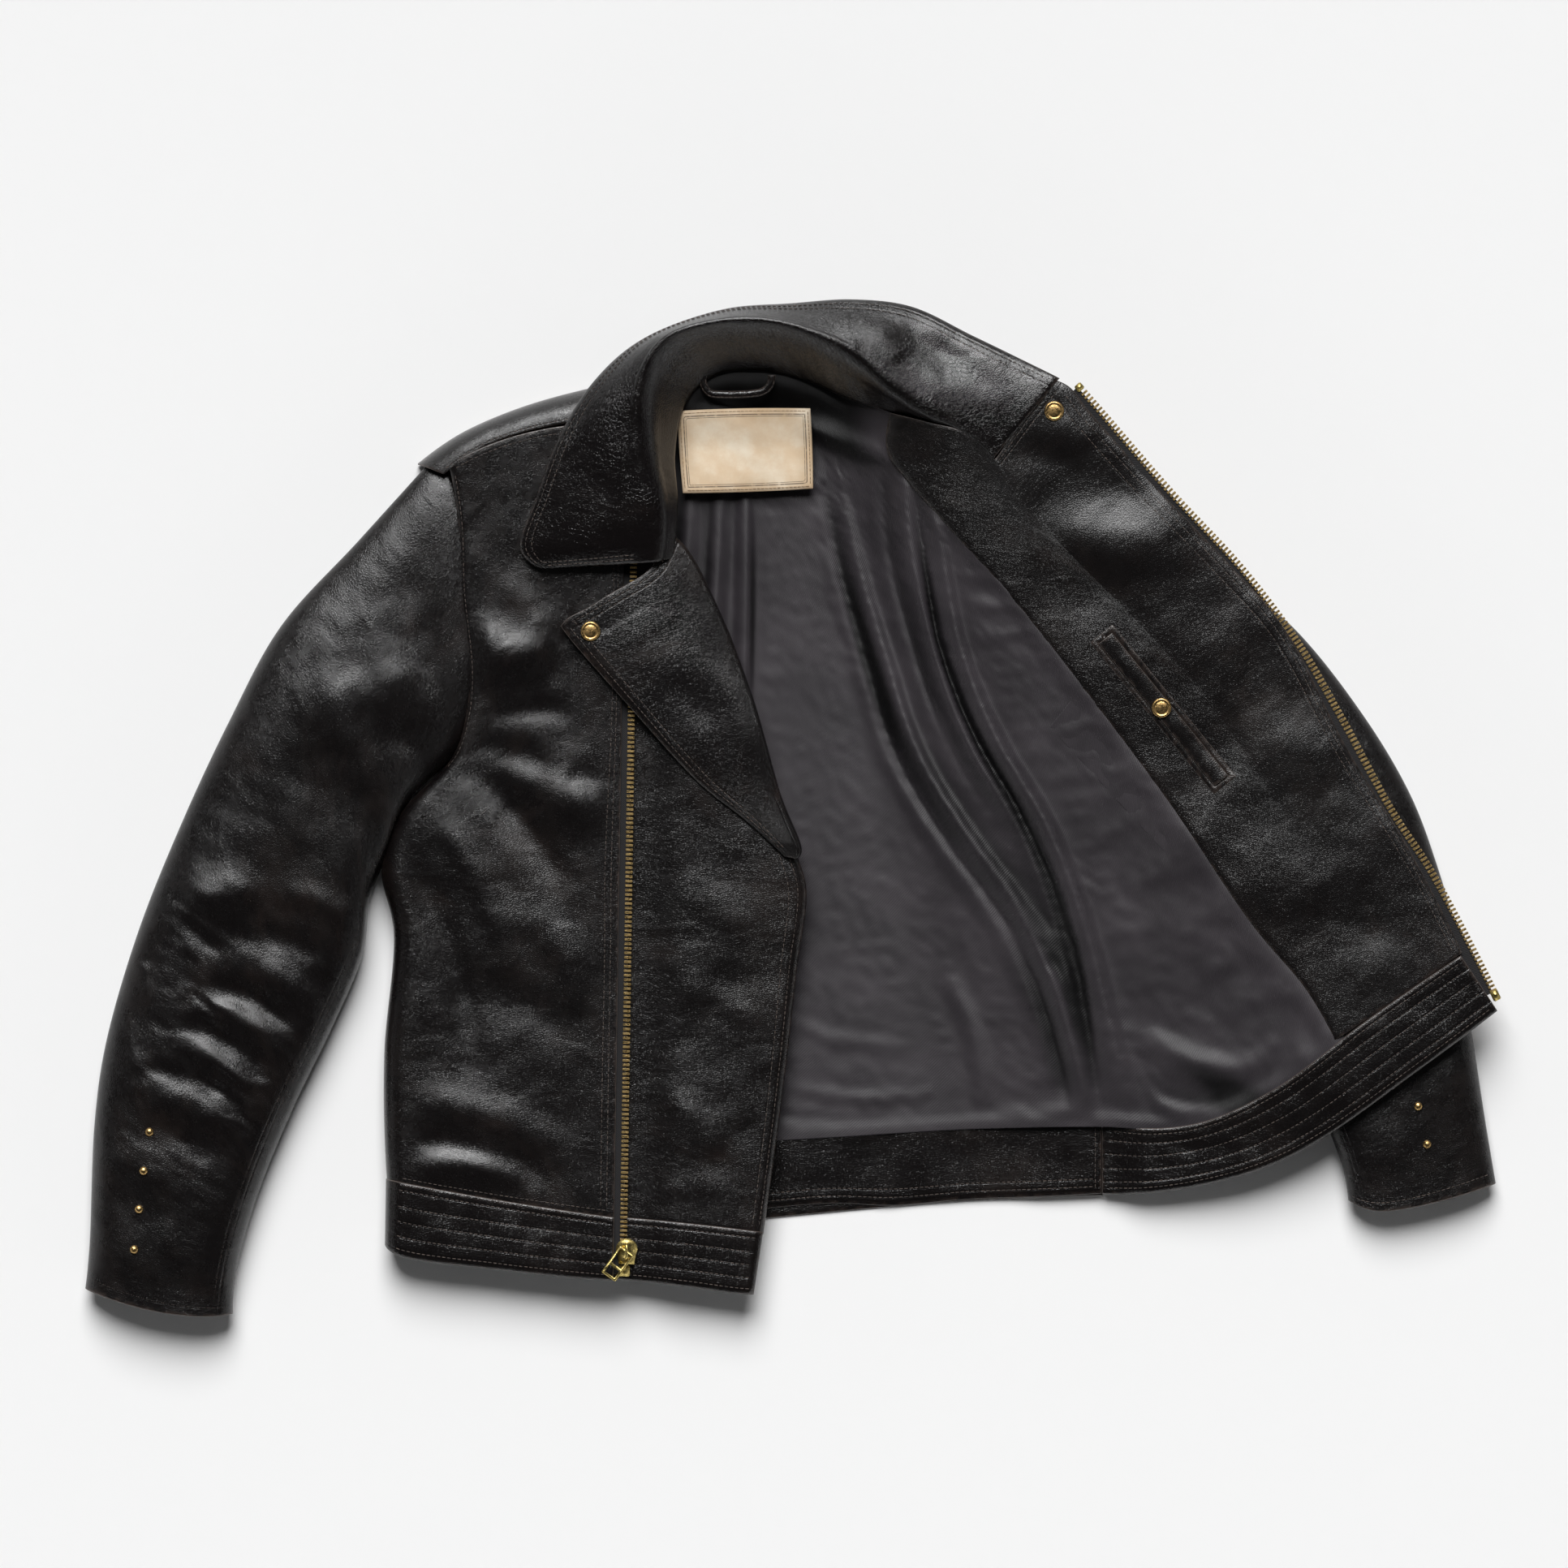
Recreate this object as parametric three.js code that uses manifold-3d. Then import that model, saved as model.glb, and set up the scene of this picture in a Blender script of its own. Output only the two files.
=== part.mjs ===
// A leather jacket laid on its back, the wearer's right front closed and the left front thrown open.
// Millimetres, +Z up, +Y towards the collar. The floor is z = 0.
import * as THREE from "three";
import Module from "manifold-3d";

const manifold = await Module();
manifold.setup();

const GAP = 0.3;
const LEATHER = 1.4;
const LINING = 1;
const REST = LEATHER / 2;
const FRONT_Z = 28.4;
const UNDERLAP_Z = 21;
const INNER_Z = 17;
const FOLD_TOP = 290;
const HINGE_TOP = new THREE.Vector3(121, FOLD_TOP, 50);
const HINGE_FOOT = new THREE.Vector3(229, -284, 10);
const FLAP_STACK = 4.6;
const CHAIN_WIDTH = 6;
const CHAIN_THICK = 2.4;
const CHAIN_LENGTH = 560;
const CHAIN_FOOT = new THREE.Vector3(-124, -340, 26.8);
const CHAIN_HEAD = new THREE.Vector3(-115.5, 228, 26.8);
const SLIDER_WIDTH = 16;
const SLIDER_LENGTH = 17;
const PULL_LENGTH = 23;
const PULL_WIDTH = 12.6;
const PULL_TURN = THREE.MathUtils.degToRad(-35);
const SNAP_RADIUS = 7.3;
const STUD_RADIUS = 3.2;

const jacket = new THREE.Group();
jacket.name = "jacket";

function finish(color, roughness, metalness) {
  return new THREE.MeshStandardMaterial({ color, roughness, metalness, side: THREE.FrontSide });
}
const leather = () => finish(0x161314, 0.42, 0);
const lining = () => finish(0x302c2f, 0.5, 0);
const brass = () => finish(0xa8854a, 0.3, 1);
const tape = () => finish(0x1b191a, 0.85, 0);
const labelCloth = () => finish(0xdbc8b0, 0.8, 0);

function add(name, geometry, material, parent = jacket) {
  const mesh = new THREE.Mesh(geometry, material);
  mesh.name = name;
  parent.add(mesh);
  return mesh;
}

// An open line through points, each [x, y] or [x, y, z], walked by its length from 0 to 1.
function line(...points) {
  const knots = points.map(([x, y, z = 0]) => new THREE.Vector3(x, y, z));
  const curve = new THREE.CatmullRomCurve3(knots, false, "centripetal");
  return (t) => curve.getPointAt(THREE.MathUtils.clamp(t, 0, 1));
}

function between(first, second) {
  return (u, v) => first(v).lerp(second(v), u);
}

// A four-sided patch from its edges: foot and head run left to right, left and right run foot to head.
function patch(foot, head, left, right) {
  return (u, v) => {
    const across = foot(u).lerp(head(u), v);
    const up = left(v).lerp(right(v), u);
    const corners = foot(0).lerp(foot(1), u).lerp(head(0).lerp(head(1), u), v);
    return across.add(up).sub(corners);
  };
}

function steps(count) {
  return Array.from({ length: count + 1 }, (_, i) => i / count);
}

// A closed sheet of one thickness, centred on surface(u, v).
function sheet(surface, us, vs, thickness) {
  const positions = [];
  const index = [];
  const step = 0.004;
  const at = (u, v) => surface(THREE.MathUtils.clamp(u, 0, 1), THREE.MathUtils.clamp(v, 0, 1));
  for (const side of [1, -1]) {
    for (const v of vs) {
      for (const u of us) {
        const du = at(u + step, v).sub(at(u - step, v));
        const dv = at(u, v + step).sub(at(u, v - step));
        const normal = du.cross(dv).normalize();
        const point = surface(u, v).addScaledVector(normal, (side * thickness) / 2);
        positions.push(point.x, point.y, point.z);
      }
    }
  }
  const nu = us.length;
  const nv = vs.length;
  const lower = nu * nv;
  const quad = (a, b, c, d) => index.push(a, b, c, a, c, d);
  for (let j = 0; j < nv - 1; j += 1) {
    for (let i = 0; i < nu - 1; i += 1) {
      const a = j * nu + i;
      quad(a, a + 1, a + nu + 1, a + nu);
      quad(lower + a, lower + a + nu, lower + a + nu + 1, lower + a + 1);
    }
  }
  for (let i = 0; i < nu - 1; i += 1) {
    const far = (nv - 1) * nu + i;
    quad(i, lower + i, lower + i + 1, i + 1);
    quad(far, far + 1, lower + far + 1, lower + far);
  }
  for (let j = 0; j < nv - 1; j += 1) {
    const near = j * nu;
    const far = near + nu - 1;
    quad(near, near + nu, lower + near + nu, lower + near);
    quad(far, lower + far, lower + far + nu, far + nu);
  }
  const geometry = new THREE.BufferGeometry();
  geometry.setAttribute("position", new THREE.Float32BufferAttribute(positions, 3));
  geometry.setIndex(index);
  geometry.computeVertexNormals();
  return geometry;
}

function smooth(low, high, value) {
  return THREE.MathUtils.smoothstep(value, low, high);
}

function toSolid(geometry) {
  const plain = geometry.index ? geometry.toNonIndexed() : geometry;
  const points = plain.getAttribute("position");
  const keys = new Map();
  const vertices = [];
  const triangles = [];
  for (let i = 0; i < points.count; i += 1) {
    const xyz = [points.getX(i), points.getY(i), points.getZ(i)];
    const key = xyz.map((value) => value.toFixed(4)).join(" ");
    if (!keys.has(key)) {
      keys.set(key, vertices.length / 3);
      vertices.push(...xyz);
    }
    triangles.push(keys.get(key));
  }
  const mesh = new manifold.Mesh({
    numProp: 3,
    vertProperties: new Float32Array(vertices),
    triVerts: new Uint32Array(triangles),
  });
  return new manifold.Manifold(mesh);
}

function joined(...geometries) {
  const mesh = manifold.Manifold.union(geometries.map(toSolid)).getMesh();
  const geometry = new THREE.BufferGeometry();
  geometry.setAttribute("position", new THREE.Float32BufferAttribute(mesh.vertProperties, 3));
  geometry.setIndex(Array.from(mesh.triVerts));
  const flat = geometry.toNonIndexed();
  flat.computeVertexNormals();
  return flat;
}

function block(low, high) {
  const size = new THREE.Vector3(...high).sub(new THREE.Vector3(...low));
  const middle = new THREE.Vector3(...high).add(new THREE.Vector3(...low)).multiplyScalar(0.5);
  return new THREE.BoxGeometry(size.x, size.y, size.z).translate(middle.x, middle.y, middle.z);
}

// ---------------------------------------------------------------- back of the body
const SIDE_Z = 13;
const backSide = line(
  [-296, -276], [-296, -182], [-287, -91], [-293, -41], [-279, -2], [-246, 38],
);
const backArmhole = line([-246, 39], [-238, 102], [-243, 158], [-245, 209], [-261, 249]);
const leftSide = line([226, -236], [214, -150], [203, -70], [196, -20], [176, 38]);
const leftArmhole = line([176, 39], [171, 102], [176, 158], [180, 209], [197, 250]);

function backHeight(u, low) {
  const edge = 1 - THREE.MathUtils.clamp(u / 0.05, 0, 1);
  return low + (SIDE_Z - 1.2 - low) * edge * edge;
}

function lay(plan, height) {
  return (u, v) => {
    const point = plan(u, v);
    point.z = height(u, v, point);
    return point;
  };
}

const ROLL_STEPS = [0, 0.02, 0.05, 0.2, 0.4, 0.6, 0.8, 1];
const backBody = patch(
  line([-296, -276], [-100, -262], [60, -244], [226, -236]),
  line([-246, 38], [176, 38]),
  backSide,
  leftSide,
);
const backPanel = lay(backBody, (u, v) => backHeight(u, REST));
add("back_panel", sheet(backPanel, ROLL_STEPS, steps(6), LEATHER), leather());
const backShoulders = patch(
  line([-246, 39], [176, 39]),
  line([-261, 249], [-225, 272], [-110, 312], [-20, 322], [90, 305], [197, 250]),
  backArmhole,
  leftArmhole,
);
add("back_yoke", sheet(lay(backShoulders, () => REST), steps(8), steps(4), LEATHER), leather());
const backHem = patch(
  line([-297, -322], [-290, -326], [-150, -316], [0, -300], [130, -288], [226, -286]),
  line([-296, -277], [-100, -263], [60, -245], [226, -237]),
  line([-297, -322], [-296, -277]),
  line([226, -286], [226, -237]),
);
const backHemBand = lay(backHem, (u, v) => backHeight(u, REST));
add("back_hem_band", sheet(backHemBand, ROLL_STEPS, steps(2), LEATHER), leather());
const hemFacing = patch(
  line([-264, -314], [-150, -308], [0, -294], [130, -286], [226, -283]),
  line([-264, -261], [-100, -250], [0, -242], [135, -233], [226, -232]),
  line([-264, -314], [-264, -261]),
  line([226, -283], [226, -232]),
);
const hemFacingStrip = lay(hemFacing, (u) => 3 + 3 * smooth(0.8, 1, u));
add("back_hem_facing", sheet(hemFacingStrip, steps(6), steps(2), LEATHER), leather());

// The shoulder strip of the back that rolls over to the front above the right shoulder seam.
const shoulderStrip = patch(
  line([-252, 256], [-227, 270], [-201, 279], [-166, 286]),
  line([-256, 266], [-228, 281], [-196, 294], [-158, 305]),
  line([-252, 256], [-256, 266]),
  line([-166, 286], [-158, 305]),
);
add(
  "right_shoulder_strip",
  sheet(lay(shoulderStrip, (u, v) => 28 - 17 * v * v), steps(4), [0, 0.35, 0.7, 1], LEATHER),
  leather(),
);

// The back lining lies on the back and climbs to the fold of the open front.
const foldLine = (v) => HINGE_FOOT.clone().lerp(HINGE_TOP, v);
const backLining = patch(
  line([-262, -238], [-100, -241], [60, -232], [219, -226]),
  line([-236, 235], [-180, 262], [-90, 292], [-20, 306], [50, 290], [90, 280], [119.5, 280]),
  line([-262, -238], [-262, -100], [-250, -20], [-224, 40], [-228, 160], [-236, 235]),
  line([219, -226], [119.5, 280]),
);
function liningHeight(u, v, point) {
  const fold = foldLine((point.y - HINGE_FOOT.y) / (HINGE_TOP.y - HINGE_FOOT.y)).z;
  const climb = smooth(0.68, 1, u);
  return 3 + 4 * smooth(0.82, 1, v) * (1 - climb) + (fold - 4.5) * climb;
}
add("back_lining", sheet(lay(backLining, liningHeight), steps(12), steps(9), LINING), lining());

// ---------------------------------------------------------------- right front
const chainDirection = CHAIN_HEAD.clone().sub(CHAIN_FOOT).normalize();
const chainX = (y) => CHAIN_FOOT.x + ((y - CHAIN_FOOT.y) * chainDirection.x) / chainDirection.y;
const frontSide = line(
  [-298, -274], [-299, -182], [-289, -91], [-295, -41], [-281, -1], [-247, 40],
  [-239, 70], [-237, 102], [-243, 158], [-245, 209], [-250, 252],
);
const rightPanel = patch(
  line([-298, -274], [-214, -289], [chainX(-301) - 7, -301]),
  line([-250, 252], [-227, 266], [-201, 275], [-165, 282], [chainX(284) - 7, 284]),
  frontSide,
  line([chainX(-301) - 7, -301], [chainX(284) - 7, 284]),
);
function frontHeight(u, v, point) {
  const side = 1 - THREE.MathUtils.clamp(u / 0.12, 0, 1);
  const shoulder = smooth(0.93, 1, v);
  return FRONT_Z - (FRONT_Z - SIDE_Z - 1.2) * side * side * (point.y < 40 ? 1 : 0.25) + 0.6 * shoulder;
}
const FRONT_STEPS = [0, 0.03, 0.07, 0.13, 0.4, 0.7, 1];
add("right_front_panel", sheet(lay(rightPanel, frontHeight), FRONT_STEPS, steps(14), LEATHER), leather());

const frontEdge = line(
  [-21, -314], [-4, -190], [4, -118], [10, -60], [3, -34], [-8, 7], [-29, 82], [-56, 151], [-97, 218],
);
const underlap = patch(
  line([-142, -302], [-80, -307], [-21, -314]),
  line([-134, 212], [-97, 218]),
  line([-142, -302], [-134, 212]),
  frontEdge,
);
add("right_front_underlap", sheet(lay(underlap, () => UNDERLAP_Z), steps(3), steps(12), LEATHER), leather());
const facing = patch(
  line([-79, -304], [-23, -311]),
  line([-118, 205], [-98, 212]),
  line([-79, -304], [-64, -100], [-70, 60], [-118, 205]),
  frontEdge,
);
add("right_front_facing", sheet(lay(facing, () => INNER_Z), steps(2), steps(12), LEATHER), leather());
const frontLining = patch(
  line([-272, -262], [-150, -272], [-81, -276]),
  line([-228, 235], [-180, 250], [-121, 222]),
  line([-272, -262], [-276, -100], [-262, -20], [-226, 40], [-220, 160], [-228, 235]),
  line([-81, -276], [-66, -100], [-72, 60], [-121, 205]),
);
const frontLiningCloth = lay(frontLining, () => INNER_Z - 0.4);
add("right_front_lining", sheet(frontLiningCloth, steps(5), steps(9), LINING), lining());

const hemLeft = patch(
  line([-298, -323], [-290, -330], [-214, -340], [chainX(-348) - 7, -348]),
  line([-298, -275], [-214, -290], [chainX(-302) - 7, -302]),
  line([-298, -323], [-298, -275]),
  line([chainX(-348) - 7, -348], [chainX(-302) - 7, -302]),
);
add(
  "right_hem_band",
  sheet(lay(hemLeft, (u) => frontHeight(u, 0, new THREE.Vector3())), FRONT_STEPS, steps(2), LEATHER),
  leather(),
);
const hemEnd = patch(
  line([-143, -346], [-80, -352], [-40, -358], [-27, -358]),
  line([-142, -303], [-80, -308], [-21, -315]),
  line([-143, -346], [-142, -303]),
  line([-27, -358], [-21, -315]),
);
add("right_hem_band_end", sheet(lay(hemEnd, () => UNDERLAP_Z), steps(4), steps(2), LEATHER), leather());

// The turned-back lapel, folded along the roll line and held by its snap.
const LAPEL_Z = 31;
const lapel = patch(
  line([-4, -33], [1, -34]),
  line([-169, 134], [-164, 140], [-134, 156], [-112, 169], [-92, 173], [-74, 176]),
  line([-4, -33], [-67, 18], [-121, 77], [-163, 125], [-169, 134]),
  line([1, -34], [-10, 7], [-31, 82], [-58, 151], [-74, 176]),
);
const lapelHeight = (u, v) => LAPEL_Z + 5 * (1 - u) * smooth(0.3, 0.9, v);
add("right_lapel", sheet(lay(lapel, lapelHeight), steps(4), steps(10), LEATHER), leather());

// ---------------------------------------------------------------- collar
const stand = between(
  line([-84, 222, 34], [-86, 262, 26], [-80, 300, 18], [-58, 322, 12], [-30, 327, 11], [10, 320, 13],
    [45, 304, 22], [80, 292, 36], [108, 284, 46]),
  line([-96, 222, 50], [-104, 262, 54], [-104, 310, 56], [-90, 340, 58], [-51, 354, 58], [0, 349, 58],
    [50, 322, 57], [84, 298, 54], [109, 287, 50]),
);
add("collar_stand", sheet(stand, steps(2), steps(14), LEATHER), leather());
const rightLeaf = between(
  line([-106, 177, 43], [-100, 222, 52], [-108, 264, 57], [-109, 300, 58.6], [-107, 318, 59]),
  line([-192, 178, 38], [-199, 190, 38], [-176, 262, 38], [-150, 308, 36], [-132, 326, 34]),
);
add("collar_right_leaf", sheet(rightLeaf, steps(4), steps(7), LEATHER), leather());
const backFall = between(
  line([-106, 320, 59], [-93, 344, 60.6], [-51, 358, 61], [0, 353, 61], [20, 345, 60.6]),
  line([-130, 328, 34], [-112, 345, 28], [-51, 368, 24], [0, 373, 30], [26, 373.6, 36]),
);
add("collar_back_fall", sheet(backFall, steps(3), steps(7), LEATHER), leather());
const leftLeaf = between(
  line([22, 345, 60.4], [52, 326, 59.6], [86, 302, 56.8], [109, 292, 53]),
  line([28, 373.4, 36], [60, 373, 40], [90, 368, 43], [105, 362, 44]),
);
add("collar_left_leaf", sheet(leftLeaf, steps(3), steps(4), LEATHER), leather());

// ---------------------------------------------------------------- right sleeve
const sleeveStep = [0, 0.04, 0.12, 0.26, 0.5, 0.74, 0.88, 0.96, 1];
function sleeveTop(plan, heights) {
  return lay(plan, (u, v) => {
    const s = 2 * u - 1;
    return heights.seam + (heights.top(v) - heights.seam) * Math.sqrt(Math.max(0, 1 - s * s * s * s));
  });
}
function sleeveFoot(plan, heights) {
  return lay(plan, (u) => {
    const s = Math.abs(2 * u - 1);
    return REST + (heights.seam - LEATHER - 1.1) * smooth(0.72, 1, s);
  });
}
const rightSleeve = patch(
  line([-272, 253], [-259, 238], [-249, 209], [-247, 158], [-242, 102], [-246, 70], [-254, 43]),
  line([-521.4, -354], [-469, -370], [-431, -374], [-412, -372]),
  line([-272, 253], [-319, 198], [-377, 134], [-415, 64], [-450, -11], [-482, -91], [-506, -174],
    [-514, -230], [-518, -324], [-521.4, -354]),
  line([-252, 42], [-289, 4], [-306, -34], [-315, -67], [-320, -107], [-340, -160], [-369, -220],
    [-394, -286], [-409, -340], [-412, -372]),
);
const rightHeights = { seam: 13, top: (v) => 40 - 8 * v };
const SLEEVE_ROWS = steps(12);
const rightSleeveTop = sleeveTop(rightSleeve, rightHeights);
add("right_sleeve_top", sheet(rightSleeveTop, sleeveStep, SLEEVE_ROWS, LEATHER), leather());
const rightSleeveUnder = sleeveFoot(rightSleeve, rightHeights);
add("right_sleeve_under", sheet(rightSleeveUnder, sleeveStep, SLEEVE_ROWS, LEATHER), leather());

// ---------------------------------------------------------------- left sleeve, under the open front
const leftSleeve = patch(
  line([178, 42], [173, 102], [178, 158], [182, 209], [200, 252]),
  line([411, -289], [428, -296], [451, -295], [520, -276]),
  line([178, 42], [213, -8], [285, -80], [351, -164], [398, -241], [411, -289]),
  line([200, 252], [249, 238], [309, 181], [368, 136], [422, 69], [457, 10], [476, -40], [489, -86],
    [502, -164], [512, -229], [520, -276]),
);
const leftHeights = { seam: 11, top: (v) => 30 - 4 * v };
const leftSleeveTop = sleeveTop(leftSleeve, leftHeights);
add("left_sleeve_top", sheet(leftSleeveTop, sleeveStep, SLEEVE_ROWS, LEATHER), leather());
const leftSleeveUnder = sleeveFoot(leftSleeve, leftHeights);
add("left_sleeve_under", sheet(leftSleeveUnder, sleeveStep, SLEEVE_ROWS, LEATHER), leather());

// ---------------------------------------------------------------- open left front
const leftEdge = line(
  [490, -119], [453, -31], [407, 44], [361, 131], [321, 178], [268, 234], [213, 294], [199, 313],
);
function flapHeight(lift) {
  return (u, v, point) => {
    const fold = foldLine((point.y - HINGE_FOOT.y) / (HINGE_TOP.y - HINGE_FOOT.y)).z - FLAP_STACK;
    const rest = 36 + 4 * smooth(0.6, 1, v);
    return fold + (rest - fold) * Math.sin((THREE.MathUtils.clamp(u, 0, 1) * Math.PI) / 2) + lift;
  };
}
const flapFold = line([230.5, -231], [122.5, 289]);
const flapFoot = line([230.5, -231], [294, -232], [352, -208], [426, -153], [490, -119]);
const flapHead = line([122.5, 289], [148, 255], [169, 284], [191, 314], [199, 313]);
const flap = patch(flapFoot, flapHead, flapFold, leftEdge);
add("left_front_panel", sheet(lay(flap, flapHeight(0.7)), steps(9), steps(12), LEATHER), leather());
function part(surface, from, to) {
  return (u, v) => {
    const a = from(v);
    const b = to(v);
    return surface(a + (b - a) * u, v);
  };
}
const seamAt = (v) => 0.62 - 0.42 * v;
const flapInner = lay(flap, flapHeight(3.6));
add(
  "left_front_lining",
  sheet(part(flapInner, () => 0, (v) => seamAt(v) - 0.003), steps(5), steps(12), LINING),
  lining(),
);
add(
  "left_front_facing",
  sheet(part(flapInner, (v) => seamAt(v) + 0.003, () => 1), steps(5), steps(12), LEATHER),
  leather(),
);

const leftHem = patch(
  line([231, -284], [265, -283], [314, -275], [352, -263], [389, -244], [463, -191], [517, -150]),
  line([230.6, -232.5], [294, -233.5], [352, -209.5], [426, -154.5], [490.6, -120.5]),
  line([231, -284], [230.6, -232.5]),
  line([517, -150], [490.6, -120.5]),
);
add("left_hem_band", sheet(lay(leftHem, flapHeight(2.2)), steps(9), steps(2), 3), leather());

const collarPoint = between(
  line([113, 291, 52], [126, 289, 50.5], [147, 259, 47]),
  line([108, 362, 44], [134, 347, 44.5], [194, 316, 46]),
);
add("collar_left_point", sheet(collarPoint, steps(3), steps(5), LEATHER), leather());

// Zip chain and tape along the edge of the open front.
const leftChainLine = line(
  [517.2, -142, 38.6], [500, -107, 38.6], [468, -47, 38.6], [440, -4, 38.6], [402, 66, 38.6],
  [370, 121, 38.6],
  [330, 174, 39.6], [277, 231, 41.6], [224, 292, 42.6], [208, 310, 42.6],
);
function beside(path, inner, outer) {
  return (u, v) => {
    const tangent = path(Math.min(1, v + 0.01)).sub(path(Math.max(0, v - 0.01))).setZ(0).normalize();
    const out = new THREE.Vector3(tangent.y, -tangent.x, 0);
    return path(v).addScaledVector(out, inner + (outer - inner) * u);
  };
}
const chainRows = steps(18).map((v) => 0.016 + 0.972 * v);
const leftChain = beside(leftChainLine, -0.5, 5.3);
add("left_zip_chain", sheet(leftChain, [0, 1], chainRows, CHAIN_THICK), brass());
add("left_zip_pin", sheet(leftChain, [0, 1], [0, 0.015], 3), brass());
add("left_zip_top_stop", sheet(leftChain, [0, 1], [0.99, 1], 3), brass());
const flapEdge = (v) => lay(flap, flapHeight(2.15))(1, v);
add("left_zip_tape", sheet(beside(flapEdge, -12, 1), [0, 1], steps(18), 0.6), tape());

// ---------------------------------------------------------------- right zip
const rightZip = new THREE.Group();
rightZip.name = "right_zip";
rightZip.position.copy(CHAIN_FOOT);
rightZip.rotation.z = -Math.atan2(chainDirection.x, chainDirection.y);
jacket.add(rightZip);
const half = CHAIN_WIDTH / 2;
const chainBlock = block([-half, 4, -CHAIN_THICK / 2], [half, CHAIN_LENGTH, CHAIN_THICK / 2]);
add("right_zip_chain", chainBlock, brass(), rightZip);
add("right_zip_tape", block([-16, -4, -0.3], [-half - GAP, CHAIN_LENGTH + 6, 0.3]), tape(), rightZip);
add("right_zip_box", block([-half, -4.6, -1.6], [half + 2, 3.4, 1.6]), brass(), rightZip);
const topStop = block([-half, CHAIN_LENGTH + 0.5, -1.4], [half, CHAIN_LENGTH + 4.5, 1.4]);
add("right_zip_top_stop", topStop, brass(), rightZip);

// The slider: two wings joined by a wedge, with an arch on top that carries the pull.
const sliderMiddle = 2.5;
function wing(low, high) {
  const w = SLIDER_WIDTH / 2;
  const outline = new THREE.Shape();
  outline.moveTo(-w * 0.72, 0);
  outline.lineTo(w * 0.72, 0);
  outline.quadraticCurveTo(w * 0.8, SLIDER_LENGTH * 0.4, w, SLIDER_LENGTH * 0.62);
  outline.absarc(0, SLIDER_LENGTH * 0.62, w, 0, Math.PI, false);
  outline.quadraticCurveTo(-w * 0.8, SLIDER_LENGTH * 0.4, -w * 0.72, 0);
  const settings = { depth: high - low, bevelEnabled: false, curveSegments: 10 };
  const plate = new THREE.ExtrudeGeometry(outline, settings);
  return plate.translate(sliderMiddle, 4.6, low);
}
function arch() {
  const outline = new THREE.Shape();
  outline.moveTo(-6.5, 0);
  outline.quadraticCurveTo(-6, 3.9, 0, 4.1);
  outline.quadraticCurveTo(6, 3.9, 6.5, 0);
  outline.lineTo(4.6, 0);
  outline.quadraticCurveTo(4.4, 2.7, 0, 2.8);
  outline.quadraticCurveTo(-4.4, 2.7, -4.6, 0);
  outline.closePath();
  const rib = new THREE.ExtrudeGeometry(outline, { depth: 2, bevelEnabled: false, curveSegments: 6 });
  return rib.rotateX(Math.PI / 2).rotateZ(Math.PI / 2).translate(sliderMiddle - 1, 14, 2.7);
}
const wedge = block([sliderMiddle + 1.2, 13, -2], [sliderMiddle + 3.2, 21, 2]);
add("zip_slider", joined(wing(-2.9, -1.7), wing(1.7, 2.9), wedge, arch()), brass(), rightZip);

// The pull: a flat rectangular ring with one cross bar, hung on the arch.
function ringHole(low, high, width) {
  const hole = new THREE.Path();
  hole.moveTo(-width / 2, low);
  hole.lineTo(width / 2, low);
  hole.lineTo(width / 2, high);
  hole.lineTo(-width / 2, high);
  hole.closePath();
  return hole;
}
const pullOutline = new THREE.Shape();
const pw = PULL_WIDTH / 2;
pullOutline.moveTo(-pw + 1.4, 0.9);
pullOutline.lineTo(pw - 1.4, 0.9);
pullOutline.quadraticCurveTo(pw, 0.9, pw, -0.6);
pullOutline.lineTo(pw, -PULL_LENGTH + 1.2);
pullOutline.quadraticCurveTo(pw, -PULL_LENGTH, pw - 1.2, -PULL_LENGTH);
pullOutline.lineTo(-pw + 1.2, -PULL_LENGTH);
pullOutline.quadraticCurveTo(-pw, -PULL_LENGTH, -pw, -PULL_LENGTH + 1.2);
pullOutline.lineTo(-pw, -0.6);
pullOutline.quadraticCurveTo(-pw, 0.9, -pw + 1.4, 0.9);
pullOutline.holes.push(ringHole(-13, -0.9, PULL_WIDTH - 3.4));
pullOutline.holes.push(ringHole(-PULL_LENGTH + 1.8, -15, PULL_WIDTH - 3.8));
const pullSettings = { depth: 1.6, bevelEnabled: false, curveSegments: 4 };
const pullPlate = new THREE.ExtrudeGeometry(pullOutline, pullSettings);
const pull = add("zip_pull", pullPlate.translate(0, 0, -0.8), brass(), rightZip);
pull.position.set(sliderMiddle, 14, 4.1);
pull.rotation.z = PULL_TURN;

// ---------------------------------------------------------------- snaps and studs
function snapCap(radius, height, around = 20) {
  const profile = [
    new THREE.Vector2(0, 0),
    new THREE.Vector2(radius, 0),
    new THREE.Vector2(radius, height * 0.45),
    new THREE.Vector2(radius * 0.86, height * 0.8),
    new THREE.Vector2(radius * 0.62, height * 0.72),
    new THREE.Vector2(0, height),
  ];
  return new THREE.LatheGeometry(profile, around).rotateX(Math.PI / 2);
}
function place(name, geometry, at, parent = jacket) {
  const mesh = add(name, geometry, brass(), parent);
  mesh.position.set(...at);
  return mesh;
}
const SKIN = LEATHER / 2 + GAP;
place("right_lapel_snap", snapCap(SNAP_RADIUS, 2.6), [-148, 130, 35.6 + SKIN]);
place("right_lapel_snap_socket", snapCap(5, 1.6).rotateX(Math.PI), [-148, 130, 34.75 - SKIN - 0.2]);
place("right_front_snap_post", snapCap(5, 1.6), [-148, 130, FRONT_Z + SKIN]);
place("left_lapel_snap", snapCap(SNAP_RADIUS, 2.6), [193, 292, 45.2]);

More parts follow.
